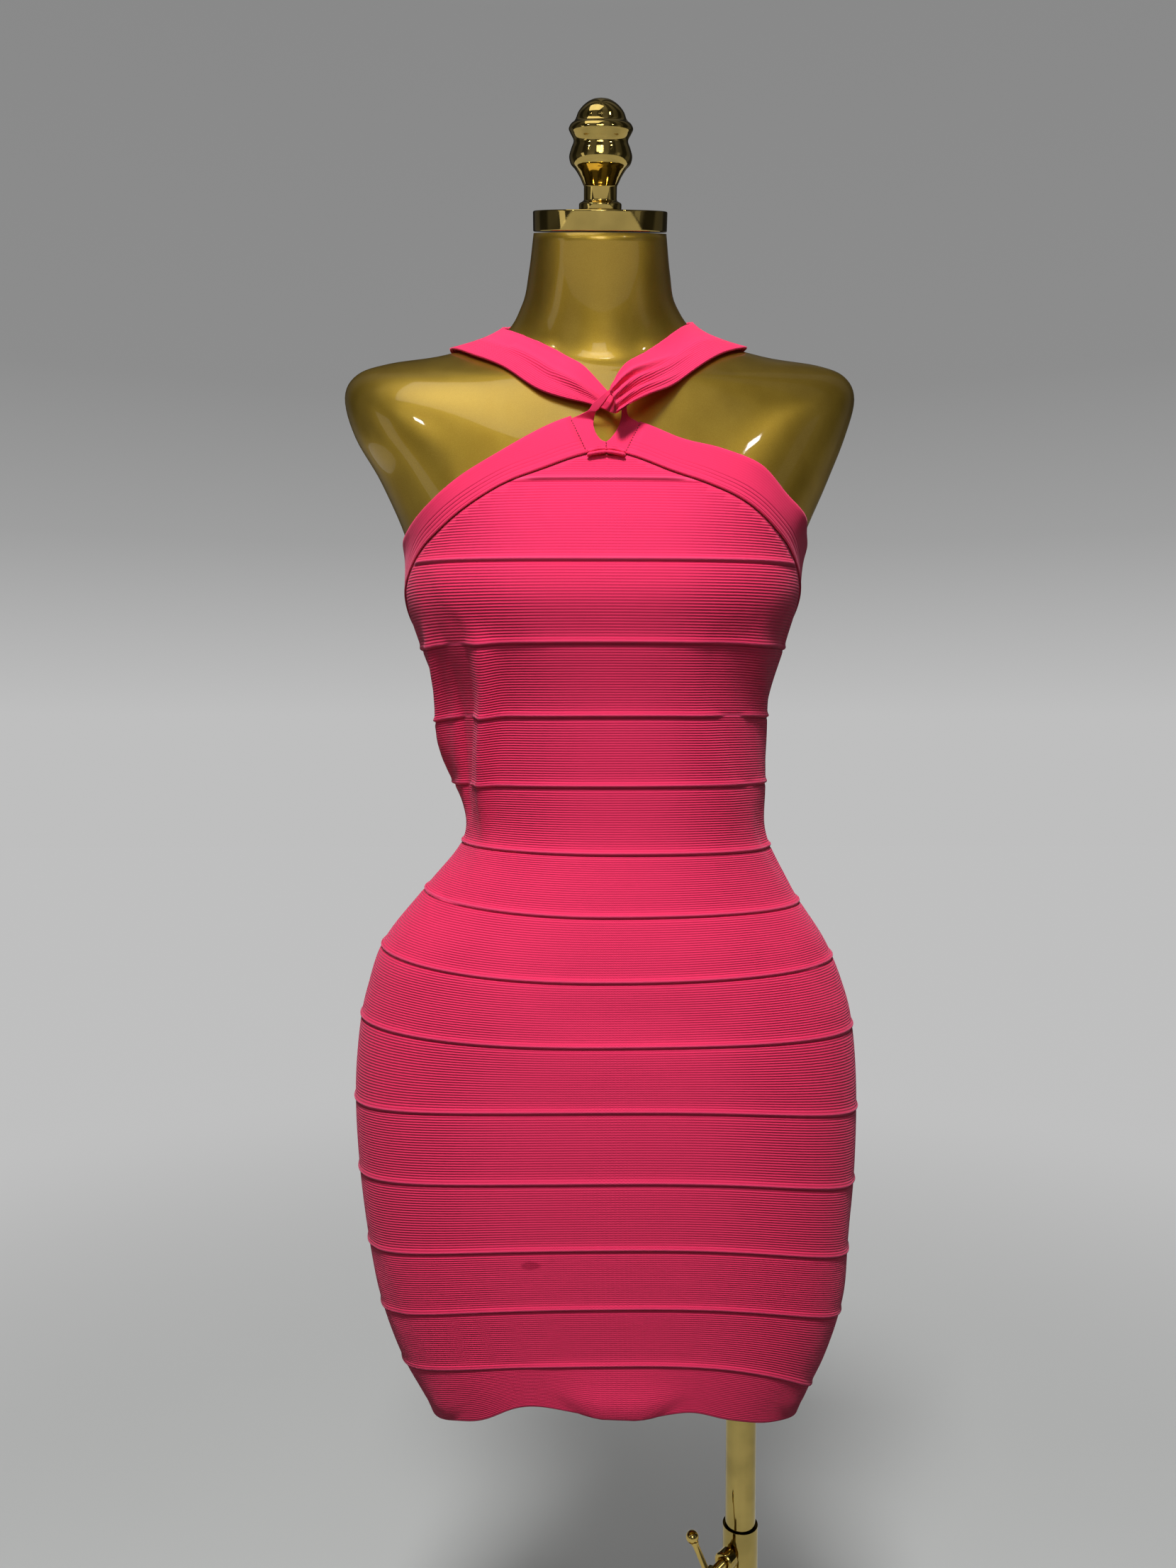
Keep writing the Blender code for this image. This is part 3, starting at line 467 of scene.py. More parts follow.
def placed(name, mesh, finish, body, stands_for=()):
    """A finished piece in the scene, riding on a body of the frame."""
    obj = bpy.data.objects.new(name, mesh)
    bpy.context.scene.collection.objects.link(obj)
    mesh.materials.clear()
    mesh.materials.append(finish)
    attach(obj, body)
    if stands_for:
        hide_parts(*stands_for)
    return obj


def grid_mesh(name, grid, weave=None, closed=False):
    """A mesh of quads over a grid of points, seen from outside with its rows upwards. weave is the place of
    each point along the cloth and across its ribs, in metres."""
    mesh = bpy.data.meshes.new(name)
    mesh.from_pydata(grid.reshape(-1, 3).tolist(), [], ring_faces(*grid.shape[:2], closed))
    if weave is not None:
        corners = np.empty(len(mesh.loops), np.int32)
        mesh.loops.foreach_get("vertex_index", corners)
        layer = mesh.uv_layers.new(name="weave")
        layer.uv.foreach_set("vector", weave.reshape(-1, 2)[corners].astype(np.float32).ravel())
    mesh.shade_smooth()
    return mesh


def merge_doubles(mesh, near=1e-6):
    bm = bmesh.new()
    bm.from_mesh(mesh)
    bmesh.ops.remove_doubles(bm, verts=bm.verts, dist=near)
    bmesh.ops.dissolve_degenerate(bm, edges=bm.edges, dist=near)
    bm.to_mesh(mesh)
    bm.free()


def cloth_piece(name, columns, weaves, wall, finish):
    """A wall of cloth in place of a node of the solid. columns are its outer face's points, from below."""
    mesh = grid_mesh(name + "_knit", np.stack(columns, axis=1), np.stack(weaves, axis=1))
    merge_doubles(mesh)
    obj = placed(name + "_knit", mesh, finish, "form", (name,))
    solidify = obj.modifiers.new("wall", "SOLIDIFY")
    solidify.thickness = wall
    solidify.offset = -1
    return obj


def turned(name, profile, finish, body, matrix=None, steps=96, stands_for=()):
    """A round piece from a profile of (height, radius), top to bottom, turned about Z."""
    profile = np.array(profile, float)
    turns = np.arange(steps) * 2 * math.pi / steps
    grid = np.stack(
        [
            profile[::-1, 1, None] * np.cos(turns),
            profile[::-1, 1, None] * np.sin(turns),
            np.repeat(profile[::-1, 0, None], steps, axis=1),
        ],
        axis=-1,
    )
    mesh = grid_mesh(name, grid, closed=True)
    merge_doubles(mesh, 1e-7)
    mesh.set_sharp_from_angle(angle=math.radians(38))
    if matrix is not None:
        mesh.transform(matrix)
    return placed(name, mesh, finish, body, stands_for)


def rounded(profile, radius, steps=4):
    """A profile of (height, radius) whose inner corners are rounded."""
    points = [np.array(point, float) for point in profile]
    smooth = [points[0]]
    for before, corner, after in zip(points, points[1:], points[2:]):
        back, on = before - corner, after - corner
        reach = min(radius, np.linalg.norm(back) / 2.01, np.linalg.norm(on) / 2.01)
        start = corner + back / np.linalg.norm(back) * reach
        end = corner + on / np.linalg.norm(on) * reach
        for t in np.linspace(0, 1, steps + 1):
            smooth.append((1 - t) ** 2 * start + 2 * t * (1 - t) * corner + t * t * end)
    return smooth + [points[-1]]


def polished(profile, per_step=6):
    """A profile read finely on a smooth curve through its points."""
    table = np.array(profile, float)
    run = np.concatenate([[0], np.cumsum(np.linalg.norm(np.diff(table, axis=0), axis=1))])
    at = np.concatenate([np.linspace(a, b, per_step, endpoint=False) for a, b in zip(run, run[1:])])
    fine = curve(run, table, np.append(at, run[-1]))
    fine[:, 1] = np.maximum(fine[:, 1], 0)
    return fine


# ---------------------------------------------------------------- materials


class Wire:
    """A shader socket that sums can be written with: each operator adds a Math node."""

    def __init__(self, finish, socket):
        self.finish = finish
        self.socket = socket

    def out(self, name):
        """Another output of the same node."""
        return Wire(self.finish, self.socket.node.outputs[name])

    def sum(self, operation, *terms):
        return self.finish.node("ShaderNodeMath", {"operation": operation}, dict(enumerate(terms)))

    def __add__(self, other):
        return self.sum("ADD", self, other)

    def __sub__(self, other):
        return self.sum("SUBTRACT", self, other)

    def __rsub__(self, other):
        return self.sum("SUBTRACT", other, self)

    def __mul__(self, other):
        return self.sum("MULTIPLY", self, other)

    def __truediv__(self, other):
        return self.sum("DIVIDE", self, other)

    def __pow__(self, other):
        return self.sum("POWER", self, other)

    __radd__ = __add__
    __rmul__ = __mul__

    def wave(self, period):
        """A sine from -1 to 1 along this value."""
        return self.sum("SINE", self * (2 * math.pi / period))

    def size(self):
        return self.sum("ABSOLUTE", self)

    def ease(self, low, high):
        """0 below low, 1 above high and smooth between. With low above high it runs the other way."""
        if low > high:
            return 1 - self.ease(high, low)
        settings = {"interpolation_type": "SMOOTHSTEP"}
        inputs = {"Value": self, "From Min": low, "From Max": high}
        return self.finish.node("ShaderNodeMapRange", settings, inputs)


class Nodes:
    """A shader tree being made."""

    def __init__(self, tree):
        self.tree = tree

    def node(self, kind, settings=None, inputs=None, output=0):
        made = self.tree.nodes.new(kind)
        for label, value in (settings or {}).items():
            if label == "stops":
                set_stops(made.color_ramp, value)
            else:
                setattr(made, label, value)
        for label, value in (inputs or {}).items():
            if isinstance(value, Wire):
                self.tree.links.new(value.socket, made.inputs[label])
            else:
                made.inputs[label].default_value = value
        return Wire(self, made.outputs[output])

    def stretched(self, place, scale):
        return self.node("ShaderNodeMapping", {}, {"Vector": place, "Scale": scale})

    def noise(self, place, scale, detail=2.0, roughness=0.5):
        inputs = {"Vector": place, "Scale": scale, "Detail": detail, "Roughness": roughness}
        return self.node("ShaderNodeTexNoise", {}, inputs)

    def axes(self, place):
        x = self.node("ShaderNodeSeparateXYZ", {}, {"Vector": place})
        return x, x.out("Y"), x.out("Z")

    def mix(self, factor, one, other):
        """A colour between two, each a Wire or three numbers."""
        one, other = (item if isinstance(item, Wire) else (*item, 1) for item in (one, other))
        return self.node("ShaderNodeMix", {"data_type": "RGBA"}, {0: factor, 6: one, 7: other}, output=2)

    def bump(self, height, distance, strength=1.0, under=None):
        inputs = {"Height": height, "Distance": distance, "Strength": strength}
        if under is not None:
            inputs["Normal"] = under
        return self.node("ShaderNodeBump", {}, inputs)


class Finish(Nodes):
    """A material being made, on one Principled shader."""

    def __init__(self, name, colour, **constants):
        self.material = bpy.data.materials.new(name)
        self.material.use_nodes = True
        self.material.diffuse_color = (*colour, 1)
        super().__init__(self.material.node_tree)
        self.shader = self.tree.nodes["Principled BSDF"]
        self.shader.inputs["Base Color"].default_value = (*colour, 1)
        for label, value in constants.items():
            self.shader.inputs[label.replace("_", " ")].default_value = value

    def place(self):
        """Places on the piece, in metres."""
        return self.node("ShaderNodeTexCoord", output="Object")

    def weave(self):
        """Places along the cloth and across its ribs, in metres."""
        return self.node("ShaderNodeUVMap", {"uv_map": "weave"})

    def to(self, label, wire):
        self.tree.links.new(wire.socket, self.shader.inputs[label])


def set_stops(ramp, stops):
    """Places a ramp's stops: (position, grey or colour) each."""
    while len(ramp.elements) > 1:
        ramp.elements.remove(ramp.elements[-1])
    for number, (position, value) in enumerate(stops):
        element = ramp.elements[0] if number == 0 else ramp.elements.new(position)
        element.position = position
        element.color = (*value, 1) if isinstance(value, tuple) else (value, value, value, 1)


PINK = (0.88, 0.036, 0.128)
# The darker pink is a painted shade for the rib grooves, the stitch holes, the sunk lines and the line under
# each roll; random mottle also darkens towards it.
PINK_SHADE_AND_MOTTLE = (0.50, 0.010, 0.055)
# The paler pink is a painted highlight on the tops of the rolls.
PINK_PAINTED_HIGHLIGHT = (0.97, 0.080, 0.215)
PINK_STAINED = (0.42, 0.006, 0.045)
THREAD = (0.30, 0.008, 0.035)
THREAD_DARK = (0.13, 0.004, 0.016)


def knit(name, ribs, lines=(), rolls=False, stain=None, ribbed_to=None):
    """Ribbed knit. ribs is how deep the ribs look, lines are the places across the cloth of fine sunk lines,
    stain is a stain's place across it, and above ribbed_to the ribs fade out. rolls is for the panels."""
    finish = Finish(
        name, PINK, Roughness=0.82, Sheen_Weight=0.30, Sheen_Roughness=0.45, Sheen_Tint=(1.0, 0.40, 0.55, 1),
        Specular_IOR_Level=0.20,
    )
    weave = finish.weave()
    along, across, _ = finish.axes(weave)
    drift = (finish.noise(weave, 14, 2) - 0.5) * (RIB * 0.25)
    rib = (across + drift).wave(RIB) * 0.5 + 0.5
    mesh = along.wave(STITCH) * across.wave(RIB / 2)
    fuzz = finish.noise(weave, 2600, 2)
    patches = finish.noise(weave, 60, 3)
    # Stretched flat in the middle, the ribs open into a mesh of stitches.
    firm = (along.size() + (finish.noise(weave, 9, 2) - 0.5) * 0.06).ease(0.015, 0.105) * 0.55 + 0.45
    if ribbed_to:
        firm = across.ease(ribbed_to + 0.004, ribbed_to - 0.003)
    # Painted shade: the rib grooves are darkened.
    groove_shade = (1 - rib.ease(0.0, 0.6)) * firm
    # The rolls between the strips are smooth. Their paler tint is a painted highlight, and the dark line
    # under each is a painted shadow.
    ridge = across.sum("PINGPONG", across, STRIP / 2).ease(0.0013, 0.0005) if rolls else 0.0
    under = across.sum("PINGPONG", across + 0.0021, STRIP / 2).ease(0.0009, 0.0002) if rolls else 0.0
    open_mesh = 0.06 if ribbed_to else 0.35 * ribs
    height = rib * firm * (1 - ridge) * ribs + mesh * (1.0 - firm) * open_mesh + fuzz * 0.40 + patches * 0.05
    # shade mixes random speckle and patches of tone with painted shade in the rib grooves and the stitch
    # holes.
    speckle = (finish.noise(weave, 900, 1) - 0.5) * 0.24
    shade = groove_shade * (1 - ridge) * (0.50 * ribs) + speckle + (patches - 0.5) * 0.16
    # Painted shade: the low places of the stitch mesh are darkened.
    shade = shade - mesh * (1.0 - firm) * (open_mesh * 0.28)
    for line in lines:
        sunk = 1 - (across - line).size().ease(0.0002, 0.0007)
        side = along.size().ease(0.02, 0.10) * 0.7 + 0.3
        height = height - sunk * side * 0.9
        # Painted shade: each sunk line is darkened as well as sunk.
        shade = shade + sunk * side * 0.45
    if rolls:
        # Painted shadow: a dark line under each roll.
        shade = shade + under * 0.42
    # Painted shade and random mottle darken the pink here.
    colour = finish.mix(shade.ease(0.02, 0.9), PINK, PINK_SHADE_AND_MOTTLE)
    if rolls:
        # Painted highlight: the tops of the rolls are tinted paler.
        colour = finish.mix(ridge * 0.6, colour, PINK_PAINTED_HIGHLIGHT)
    if stain:
        x = (along - STAIN[0]) / STAIN_SIZE[0]
        y = (across - stain) / STAIN_SIZE[1]
        ragged = (finish.noise(weave, 420, 3) - 0.5) * 0.9
        spot = (x * x + y * y + ragged).ease(1.05, 0.35)
        colour = finish.mix(spot * 0.62, colour, PINK_STAINED)
    finish.to("Base Color", colour)
    finish.to("Roughness", fuzz * 0.10 + 0.78)
    finish.to("Normal", finish.bump(height, 0.00042, 0.85))
    return finish.material


def sewing_thread(name, colour):
    finish = Finish(name, colour, Roughness=0.7, Sheen_Weight=0.2, Specular_IOR_Level=0.3)
    place = finish.place()
    paler = tuple(channel * 1.6 for channel in colour)
    finish.to("Base Color", finish.mix(finish.noise(place, 1800, 1), colour, paler))
    finish.to("Normal", finish.bump(finish.noise(place, 3000, 1), 0.0001, 0.6))
    return finish.material


def painted_gold():
    """Metallic gold paint under a clear coat."""
    colour = (0.55, 0.355, 0.043)
    coat = {"Coat_Weight": 0.7, "Coat_Roughness": 0.04, "Coat_IOR": 1.45}
    finish = Finish("painted_gold", colour, Metallic=0.92, **coat)
    place = finish.place()
    cloud = finish.noise(place, 7, 3)
    flake = finish.noise(place, 1900, 2)
    dabs = finish.noise(finish.stretched(place, (1, 1, 0.6)), 70, 3)
    tone = cloud * 0.55 + flake * 0.30 + dabs * 0.15
    finish.to("Base Color", finish.mix(tone.ease(0.3, 0.7), (0.47, 0.288, 0.026), (0.64, 0.425, 0.060)))
    finish.to("Roughness", dabs * 0.10 + cloud * 0.08 + 0.29)
    ripple = finish.bump(finish.noise(place, 24, 2), 0.0012, 0.25)
    finish.to("Normal", finish.bump(dabs * 0.6 + flake * 0.12, 0.0003, 0.35, ripple))
    return finish.material


def polished_gold(name="polished_gold", colour=(0.62, 0.45, 0.13), worn=0.0):
    finish = Finish(name, colour, Metallic=1.0, Specular_IOR_Level=0.6)
    place = finish.place()
    cloud = finish.noise(place, 30, 3)
    rub = finish.noise(finish.stretched(place, (1, 1, 14)), 160, 3)
    darker = tuple(channel * 0.72 for channel in colour)
    finish.to("Base Color", finish.mix(cloud.ease(0.35, 0.75), colour, darker))
    finish.to("Roughness", rub * (0.05 + worn) + cloud * 0.03 + 0.035)
    finish.to("Normal", finish.bump(rub, 0.00005, 0.12 + worn))
    return finish.material


def brushed_gold():
    """Plated steel, brushed in rings round the base."""
    colour = (0.58, 0.42, 0.13)
    finish = Finish("brushed_gold", colour, Metallic=1.0)
    place = finish.place()
    x, y, _ = finish.axes(place)
    reach = (x * x + y * y) ** 0.5
    rings = finish.noise(finish.node("ShaderNodeCombineXYZ", {}, {"X": reach * 900}), 1.0, 3)
    cloud = finish.noise(place, 12, 3)
    scuff = finish.noise(finish.stretched(place, (4, 60, 1)), 20, 4).ease(0.62, 0.72)
    finish.to("Base Color", finish.mix(cloud * 0.5 + rings * 0.3, (0.44, 0.31, 0.085), (0.68, 0.50, 0.17)))
    finish.to("Roughness", rings * 0.14 + scuff * 0.15 + cloud * 0.06 + 0.14)
    finish.to("Normal", finish.bump(rings, 0.00006, 0.3))
    return finish.material


# ---------------------------------------------------------------- the dress


def strip_edges(degrees):
    """Heights of the hem, every roll and the line above the last, at an angle."""
    return np.array([hem_at(degrees), *(side_blend(levels, degrees) for levels in (*ROLLS, TOP))])


def strip_place(heights, edges):
    """The place across the ribs at heights, counted from the hem in whole strips."""
    return np.interp(heights, edges, np.arange(len(edges))) * STRIP


def strip_rows():
    """Rows of a panel as (strip, part of the strip, distance over that place)."""
    over = [height for height, _ in ROLL_SECTION if height > 0]
    under = [height for height, _ in ROLL_SECTION if height <= 0]
    rows = [(0, 0.0, offset) for offset in HEM_OFFSETS]
    for strip in range(len(ROLLS)):
        if strip:
            rows += [(strip, 0.0, offset) for offset in over]
        for number in range(1, PLAIN_ROWS + 1):
            part = number / (PLAIN_ROWS + 1)
            rows.append((strip, part, over[-1] * (1 - part) + under[0] * part))
        rows += [(strip + 1, 0.0, offset) for offset in under]
    rows += [(len(ROLLS), 0.0, offset) for offset in over]
    return rows + [(len(ROLLS), part, 0.0) for part in TOP_PARTS]


ROWS = strip_rows()


def roll_at(heights, edges):
    """How far the rolled seams stand out, at heights on one column."""
    section = np.array(ROLL_SECTION)
    out = np.zeros_like(heights)
    for edge in edges[1:-1]:
        out += np.interp(heights - edge, section[:, 0], section[:, 1], 0, 0)
    return out


def band_row(band, degrees):
    """(lower height, upper angle, upper height) where a band's lower edge passes an angle."""
    table = np.array(sorted(band))
    return curve(table[:, 0], table[:, 1:], np.clip(degrees, table[0, 0], table[-1, 0]))


def top_edge(degrees):
    """The height where the panels end and the neckline bands begin."""
    turn = apart(degrees, 0)
    if abs(turn) >= 90:
        return band_row(BACK_BAND, abs(turn))[0]
    return band_row(LEFT_BAND if turn < 0 else RIGHT_BAND, turn)[0]


def seam_shift(line, degrees, side):
    """Moves a line on a side seam half the seam's gap forward or back."""
    if side and abs(abs(apart(degrees, 0)) - 90) < 1e-6:
        line[:, 1] += side * SEAM_GAP / 2


def round_from(degrees, centre):
    """How far round the figure an angle is from a centre, in metres along the cloth."""
    return np.radians(apart(degrees, centre)) * GIRTH


def panel(name, turns, side, finish):
    """A panel between the side seams. Rows that would pass the neckline end on it."""
    centre = 0 if side < 0 else 180
    columns, weaves = [], []
    for degrees in turns:
        edges = strip_edges(degrees)
        strips, parts, over = np.array(ROWS).T
        low = edges[strips.astype(int)]
        high = edges[strips.astype(int) + 1]
        heights = low + (high - low) * parts + over
        edge = top_edge(degrees) - BAND_SEAM / 2
        heights = np.append(np.where(heights > edge - ROW_SNAP, edge, heights), edge)
        near_top = np.clip((edge - heights) / ROLL_FADE, 0, 1)
        line = cloth_at(degrees, heights, PANEL_WALL, roll_at(heights, edges) * near_top)
        seam_shift(line, degrees, side)
        columns.append(line)
        along = np.full_like(heights, round_from(degrees, centre))
        weaves.append(np.stack([along, strip_place(heights, edges)], axis=-1))
    return cloth_piece(name, columns, weaves, PANEL_WALL, finish)


BAND_PARTS = np.array(
    (0.0, 0.04, 0.09, 0.16, 0.24, 0.33, 0.42, 0.51, 0.60, 0.69, 0.78, 0.86, 0.92, 0.97, 1.0)
)


def band_line(table, degrees, mirrored):
    """Angles and heights across a band at one place."""
    low_z, high_turn, high_z = band_row(table, abs(apart(degrees, 0)) if mirrored else degrees)
    if mirrored:
        high_turn = degrees
    turns = degrees + (high_turn - degrees) * BAND_PARTS
    heights = low_z + BAND_SEAM / 2 + (high_z - low_z - BAND_SEAM / 2) * BAND_PARTS
    return turns, heights


def band(name, table, turns, finish, mirrored=False, side=0):
    """A smooth band on a panel's edge. Its lower edge is turned over the seam and its free edge is wavy."""
    centre = 180 if mirrored else 0
    columns, weaves = [], []
    for degrees in turns:
        line, along = [], []
        for turn, height, part in zip(*band_line(table, degrees, mirrored), BAND_PARTS):
            wave = sum(out * bell(apart(turn, at), 0, half) for at, out, half in BAND_WAVES)
            lip = BAND_LIP * bell(part, 0.03, 0.05) - BAND_TUCK * (part < 0.01)
            edge_roll = -BAND_EDGE_ROLL * max(0.0, (part - 0.93) / 0.07) ** 2
            proud = np.array([wave * part**2 + lip + edge_roll])
            line.append(cloth_at(turn, np.array([height]), BAND_WALL, proud)[0])
            along.append(round_from(turn, centre))
        steps = np.linalg.norm(np.diff(line, axis=0), axis=1)
        weaves.append(np.stack([along, np.concatenate([[0], np.cumsum(steps)])], axis=-1))
        line = np.array(line)
        seam_shift(line, degrees, side)
        columns.append(line)
    return cloth_piece(name, columns, weaves, BAND_WALL, finish)


def strip_grid(rows, steps, parts, clear, tree):
    """A strip's outer face from its two edges: on the figure where hug is 1, free where it is 0."""
    table = np.array(rows)
    middles = (table[:, 0:3] + table[:, 3:6]) / 2
    places = np.concatenate([[0], np.cumsum(np.linalg.norm(np.diff(middles, axis=0), axis=1))])
    at = np.concatenate([np.linspace(a, b, steps, endpoint=False) for a, b in zip(places, places[1:])])
    at = np.append(at, places[-1])
    table = curve(places, table, at)
    grid = np.empty((len(table), len(parts), 3))
    for i, row in enumerate(table):
        hug = min(max(row[6], 0.0), 1.0)
        for j, part in enumerate(parts):
            free = row[3:6] + (row[0:3] - row[3:6]) * part
            if hug:
                near, normal = tree.find_nearest(Vector(free))[:2]
                free = free + (np.array(near) + np.array(normal) * clear - free) * hug
            grid[i, j] = free
    return grid, at


def grid_normals(grid):
    """Unit normals of a grid of points, by its first and second axes."""
    normals = np.cross(np.gradient(grid, axis=0), np.gradient(grid, axis=1))
    return normals / np.maximum(np.linalg.norm(normals, axis=-1, keepdims=True), 1e-12)


STRAP_STEPS = 12
STRAP_PARTS = np.linspace(0, 1, 33)
STRAP_FOLDS = (
    # from row, to row, across at its start and end, out, half width
    (4.5, 9.4, 0.62, 0.30, 0.0017, 0.10),
    (4.8, 9.4, 0.42, 0.16, -0.0012, 0.12),
    (3.2, 6.5, 0.86, 0.72, 0.0007, 0.12),
    (12.0, 16.0, 0.90, 0.62, 0.0020, 0.055),
    (12.0, 15.6, 0.78, 0.50, -0.0018, 0.060),
    (12.0, 16.6, 0.62, 0.38, 0.0017, 0.060),
    (12.0, 15.4, 0.46, 0.26, -0.0020, 0.060),
    (12.0, 15.8, 0.30, 0.16, 0.0016, 0.050),
    (11.6, 15.6, 0.14, 0.05, -0.0013, 0.045),
    (11.4, 15.0, 0.03, 0.00, 0.0020, 0.050),
    (1.2, 3.0, 0.30, 0.55, -0.0006, 0.14),
    (18.4, 20.2, 0.55, 0.35, -0.0006, 0.14),
)


def strap(tree, finish):
    """The halter strap, with its lengthwise crease on the left and its gathered pleats on the right."""
    grid, at = strip_grid(STRAP_ROWS, STRAP_STEPS, STRAP_PARTS, STRAP_CLEAR, tree)
    normals = grid_normals(grid)
    row = np.arange(len(at)) / STRAP_STEPS
    out = np.zeros(grid.shape[:2])
    for start, end, part_a, part_b, height, half in STRAP_FOLDS:
        t = np.clip((row - start) / (end - start), 0, 1)
        fade = np.sin(np.pi * (0.08 + 0.92 * t)) ** 0.7 * (t > 0) * (t < 1)
        centre = part_a + (part_b - part_a) * t
        out += height * fade[:, None] * bell(STRAP_PARTS[None, :], centre[:, None], half)
    sign = np.sign(np.sum(normals[len(at) // 5] * (0, -1, 0.4)))
    grid = grid + normals * (out * sign)[..., None]
    width = np.linalg.norm(np.diff(grid, axis=1), axis=-1).cumsum(axis=1)
    across = STRAP_PARTS[None, :] * np.maximum(width[:, -1:], 0.036)
    weave = np.stack([np.repeat(at[:, None], len(STRAP_PARTS), axis=1), across], axis=-1)
    return cloth_piece("halter_strap", grid, weave, STRAP_WALL, finish)


LOOP_STEPS = 7
LOOP_PARTS = np.linspace(0, 1, 15)


def loop(tree, finish):
    """The keyhole piece with the loop that carries the strap."""
    grid, at = strip_grid(LOOP_ROWS, LOOP_STEPS, LOOP_PARTS, LOOP_CLEAR, tree)
    width = np.linalg.norm(np.diff(grid, axis=1), axis=-1).cumsum(axis=1)
    across = LOOP_PARTS[None, :] * width[:, -1:]
    weave = np.stack([np.repeat(at[:, None], len(LOOP_PARTS), axis=1), across], axis=-1)
    return cloth_piece("keyhole_loop", grid[:, ::-1], weave[:, ::-1], LOOP_WALL, finish)


def tube_grid(path, radii, sides=12):
    """A round tube along a path, with a radius at each point."""
    path = np.array(path, float)
    ahead = np.gradient(path, axis=0)
    ahead /= np.linalg.norm(ahead, axis=1, keepdims=True)
    side = np.cross(ahead, (0.0, 0.0, 1.0))
    side /= np.linalg.norm(side, axis=1, keepdims=True)
    up = np.cross(side, ahead)
    turns = np.arange(sides) * 2 * math.pi / sides
    ring = side[:, None] * np.cos(turns)[None, :, None] + up[:, None] * np.sin(turns)[None, :, None]
    return path[:, None] + ring * np.asarray(radii)[:, None, None]


def keyhole_bar(tree, finish):
    """Rolls of knit laid along the seam under the keyhole, gathered at the centre seam and at their ends."""
    table = np.array(BAR_ROWS)
    centre = table[len(table) // 2, 0]
    x = np.linspace(table[0, 0], table[-1, 0], 57)
    height = curve(table[:, 0], table[:, 1:], x)[:, 0]
    part = np.linspace(0, 1, len(x))
    pinch = 1 - 0.45 * bell(x, centre, 0.0006) - 0.12 * np.sin(part * 40) ** 2
    ends = np.maximum(np.clip(np.minimum(part, 1 - part) * 18, 0, 1) ** 0.5, 0.02)
    arch = 0.25 * bell(np.abs(x - centre), 0.006, 0.004)
    rolls = []
    for rise, out, thick in BAR_ROLLS:
        path = []
        for px, pz in zip(x, height + rise + rise * arch):
            near, normal = tree.find_nearest(Vector((px, -0.087, pz)))[:2]
            path.append(near + normal * (BAR_CLEAR + out))
        rolls.append(grid_mesh("roll", tube_grid(path, thick * pinch * ends), weave_of_tube(x), True))
    mesh = joined("keyhole_bar_knit", rolls)
    return placed("keyhole_bar_knit", mesh, finish, "form", ("keyhole_bar",))


def weave_of_tube(x, sides=12):
    turns = np.arange(sides) * RIB * 2 / sides
    return np.stack(np.broadcast_arrays(x[:, None], turns[None, :]), axis=-1)


def joined(name, meshes):
    """One mesh from several, closed and facing out."""
    bm = bmesh.new()
    for mesh in meshes:
        bm.from_mesh(mesh)
        bpy.data.meshes.remove(mesh)
    holes = [edge for edge in bm.edges if edge.is_boundary]
    bmesh.ops.holes_fill(bm, edges=holes, sides=0)
    bmesh.ops.recalc_face_normals(bm, faces=bm.faces)
    whole = bpy.data.meshes.new(name)
    bm.to_mesh(whole)
    bm.free()
    whole.shade_smooth()
    return whole


# ---------------------------------------------------------------- stitches


STITCH_SOCKETS = (
    # name, way, kind
    ("Geometry", "INPUT", "Geometry"), ("Thread", "INPUT", "Float"), ("Length", "INPUT", "Float"),
    ("Material", "INPUT", "Material"), ("Geometry", "OUTPUT", "Geometry"),
)
STITCH_NODES = {
    "entry": "NodeGroupInput",
    "leave": "NodeGroupOutput",
    "thread": "GeometryNodeMeshUVSphere",
    "size": "ShaderNodeCombineXYZ",
    "half": "ShaderNodeMath",
    "ahead": "GeometryNodeInputNamedAttribute",
    "turn": "FunctionNodeAlignRotationToVector",
    "points": "GeometryNodeMeshToPoints",
    "spread": "GeometryNodeInstanceOnPoints",
    "realize": "GeometryNodeRealizeInstances",
    "paint": "GeometryNodeSetMaterial",
}
STITCH_LINKS = (
    # from node, output, to node, input
    ("entry", "Geometry", "points", "Mesh"), ("entry", "Thread", "size", "X"),
    ("entry", "Thread", "size", "Y"), ("entry", "Length", "half", 0), ("half", 0, "size", "Z"),
    ("ahead", "Attribute", "turn", "Vector"),
    ("points", "Points", "spread", "Points"), ("thread", "Mesh", "spread", "Instance"),
    ("turn", "Rotation", "spread", "Rotation"), ("size", "Vector", "spread", "Scale"),
    ("spread", "Instances", "realize", "Geometry"), ("realize", "Geometry", "paint", "Geometry"),
    ("entry", "Material", "paint", "Material"), ("paint", "Geometry", "leave", "Geometry"),
)


def stitch_tree():
    """Geometry Nodes: a short rounded thread at every point of a mesh, along the point's own direction."""
    tree = bpy.data.node_groups.new("stitches", "GeometryNodeTree")
    for name, way, kind in STITCH_SOCKETS:
        tree.interface.new_socket(name, in_out=way, socket_type="NodeSocket" + kind)
    nodes = {name: tree.nodes.new(kind) for name, kind in STITCH_NODES.items()}
    for label, value in (("Segments", 7), ("Rings", 5), ("Radius", 1.0)):
        nodes["thread"].inputs[label].default_value = value
    nodes["half"].operation = "MULTIPLY"
    nodes["half"].inputs[1].default_value = 0.5
    nodes["ahead"].data_type = "FLOAT_VECTOR"
    nodes["ahead"].inputs["Name"].default_value = "ahead"
    nodes["turn"].axis = "Z"
    for start, output, end, entry in STITCH_LINKS:
        tree.links.new(nodes[start].outputs[output], nodes[end].inputs[entry])
    return tree


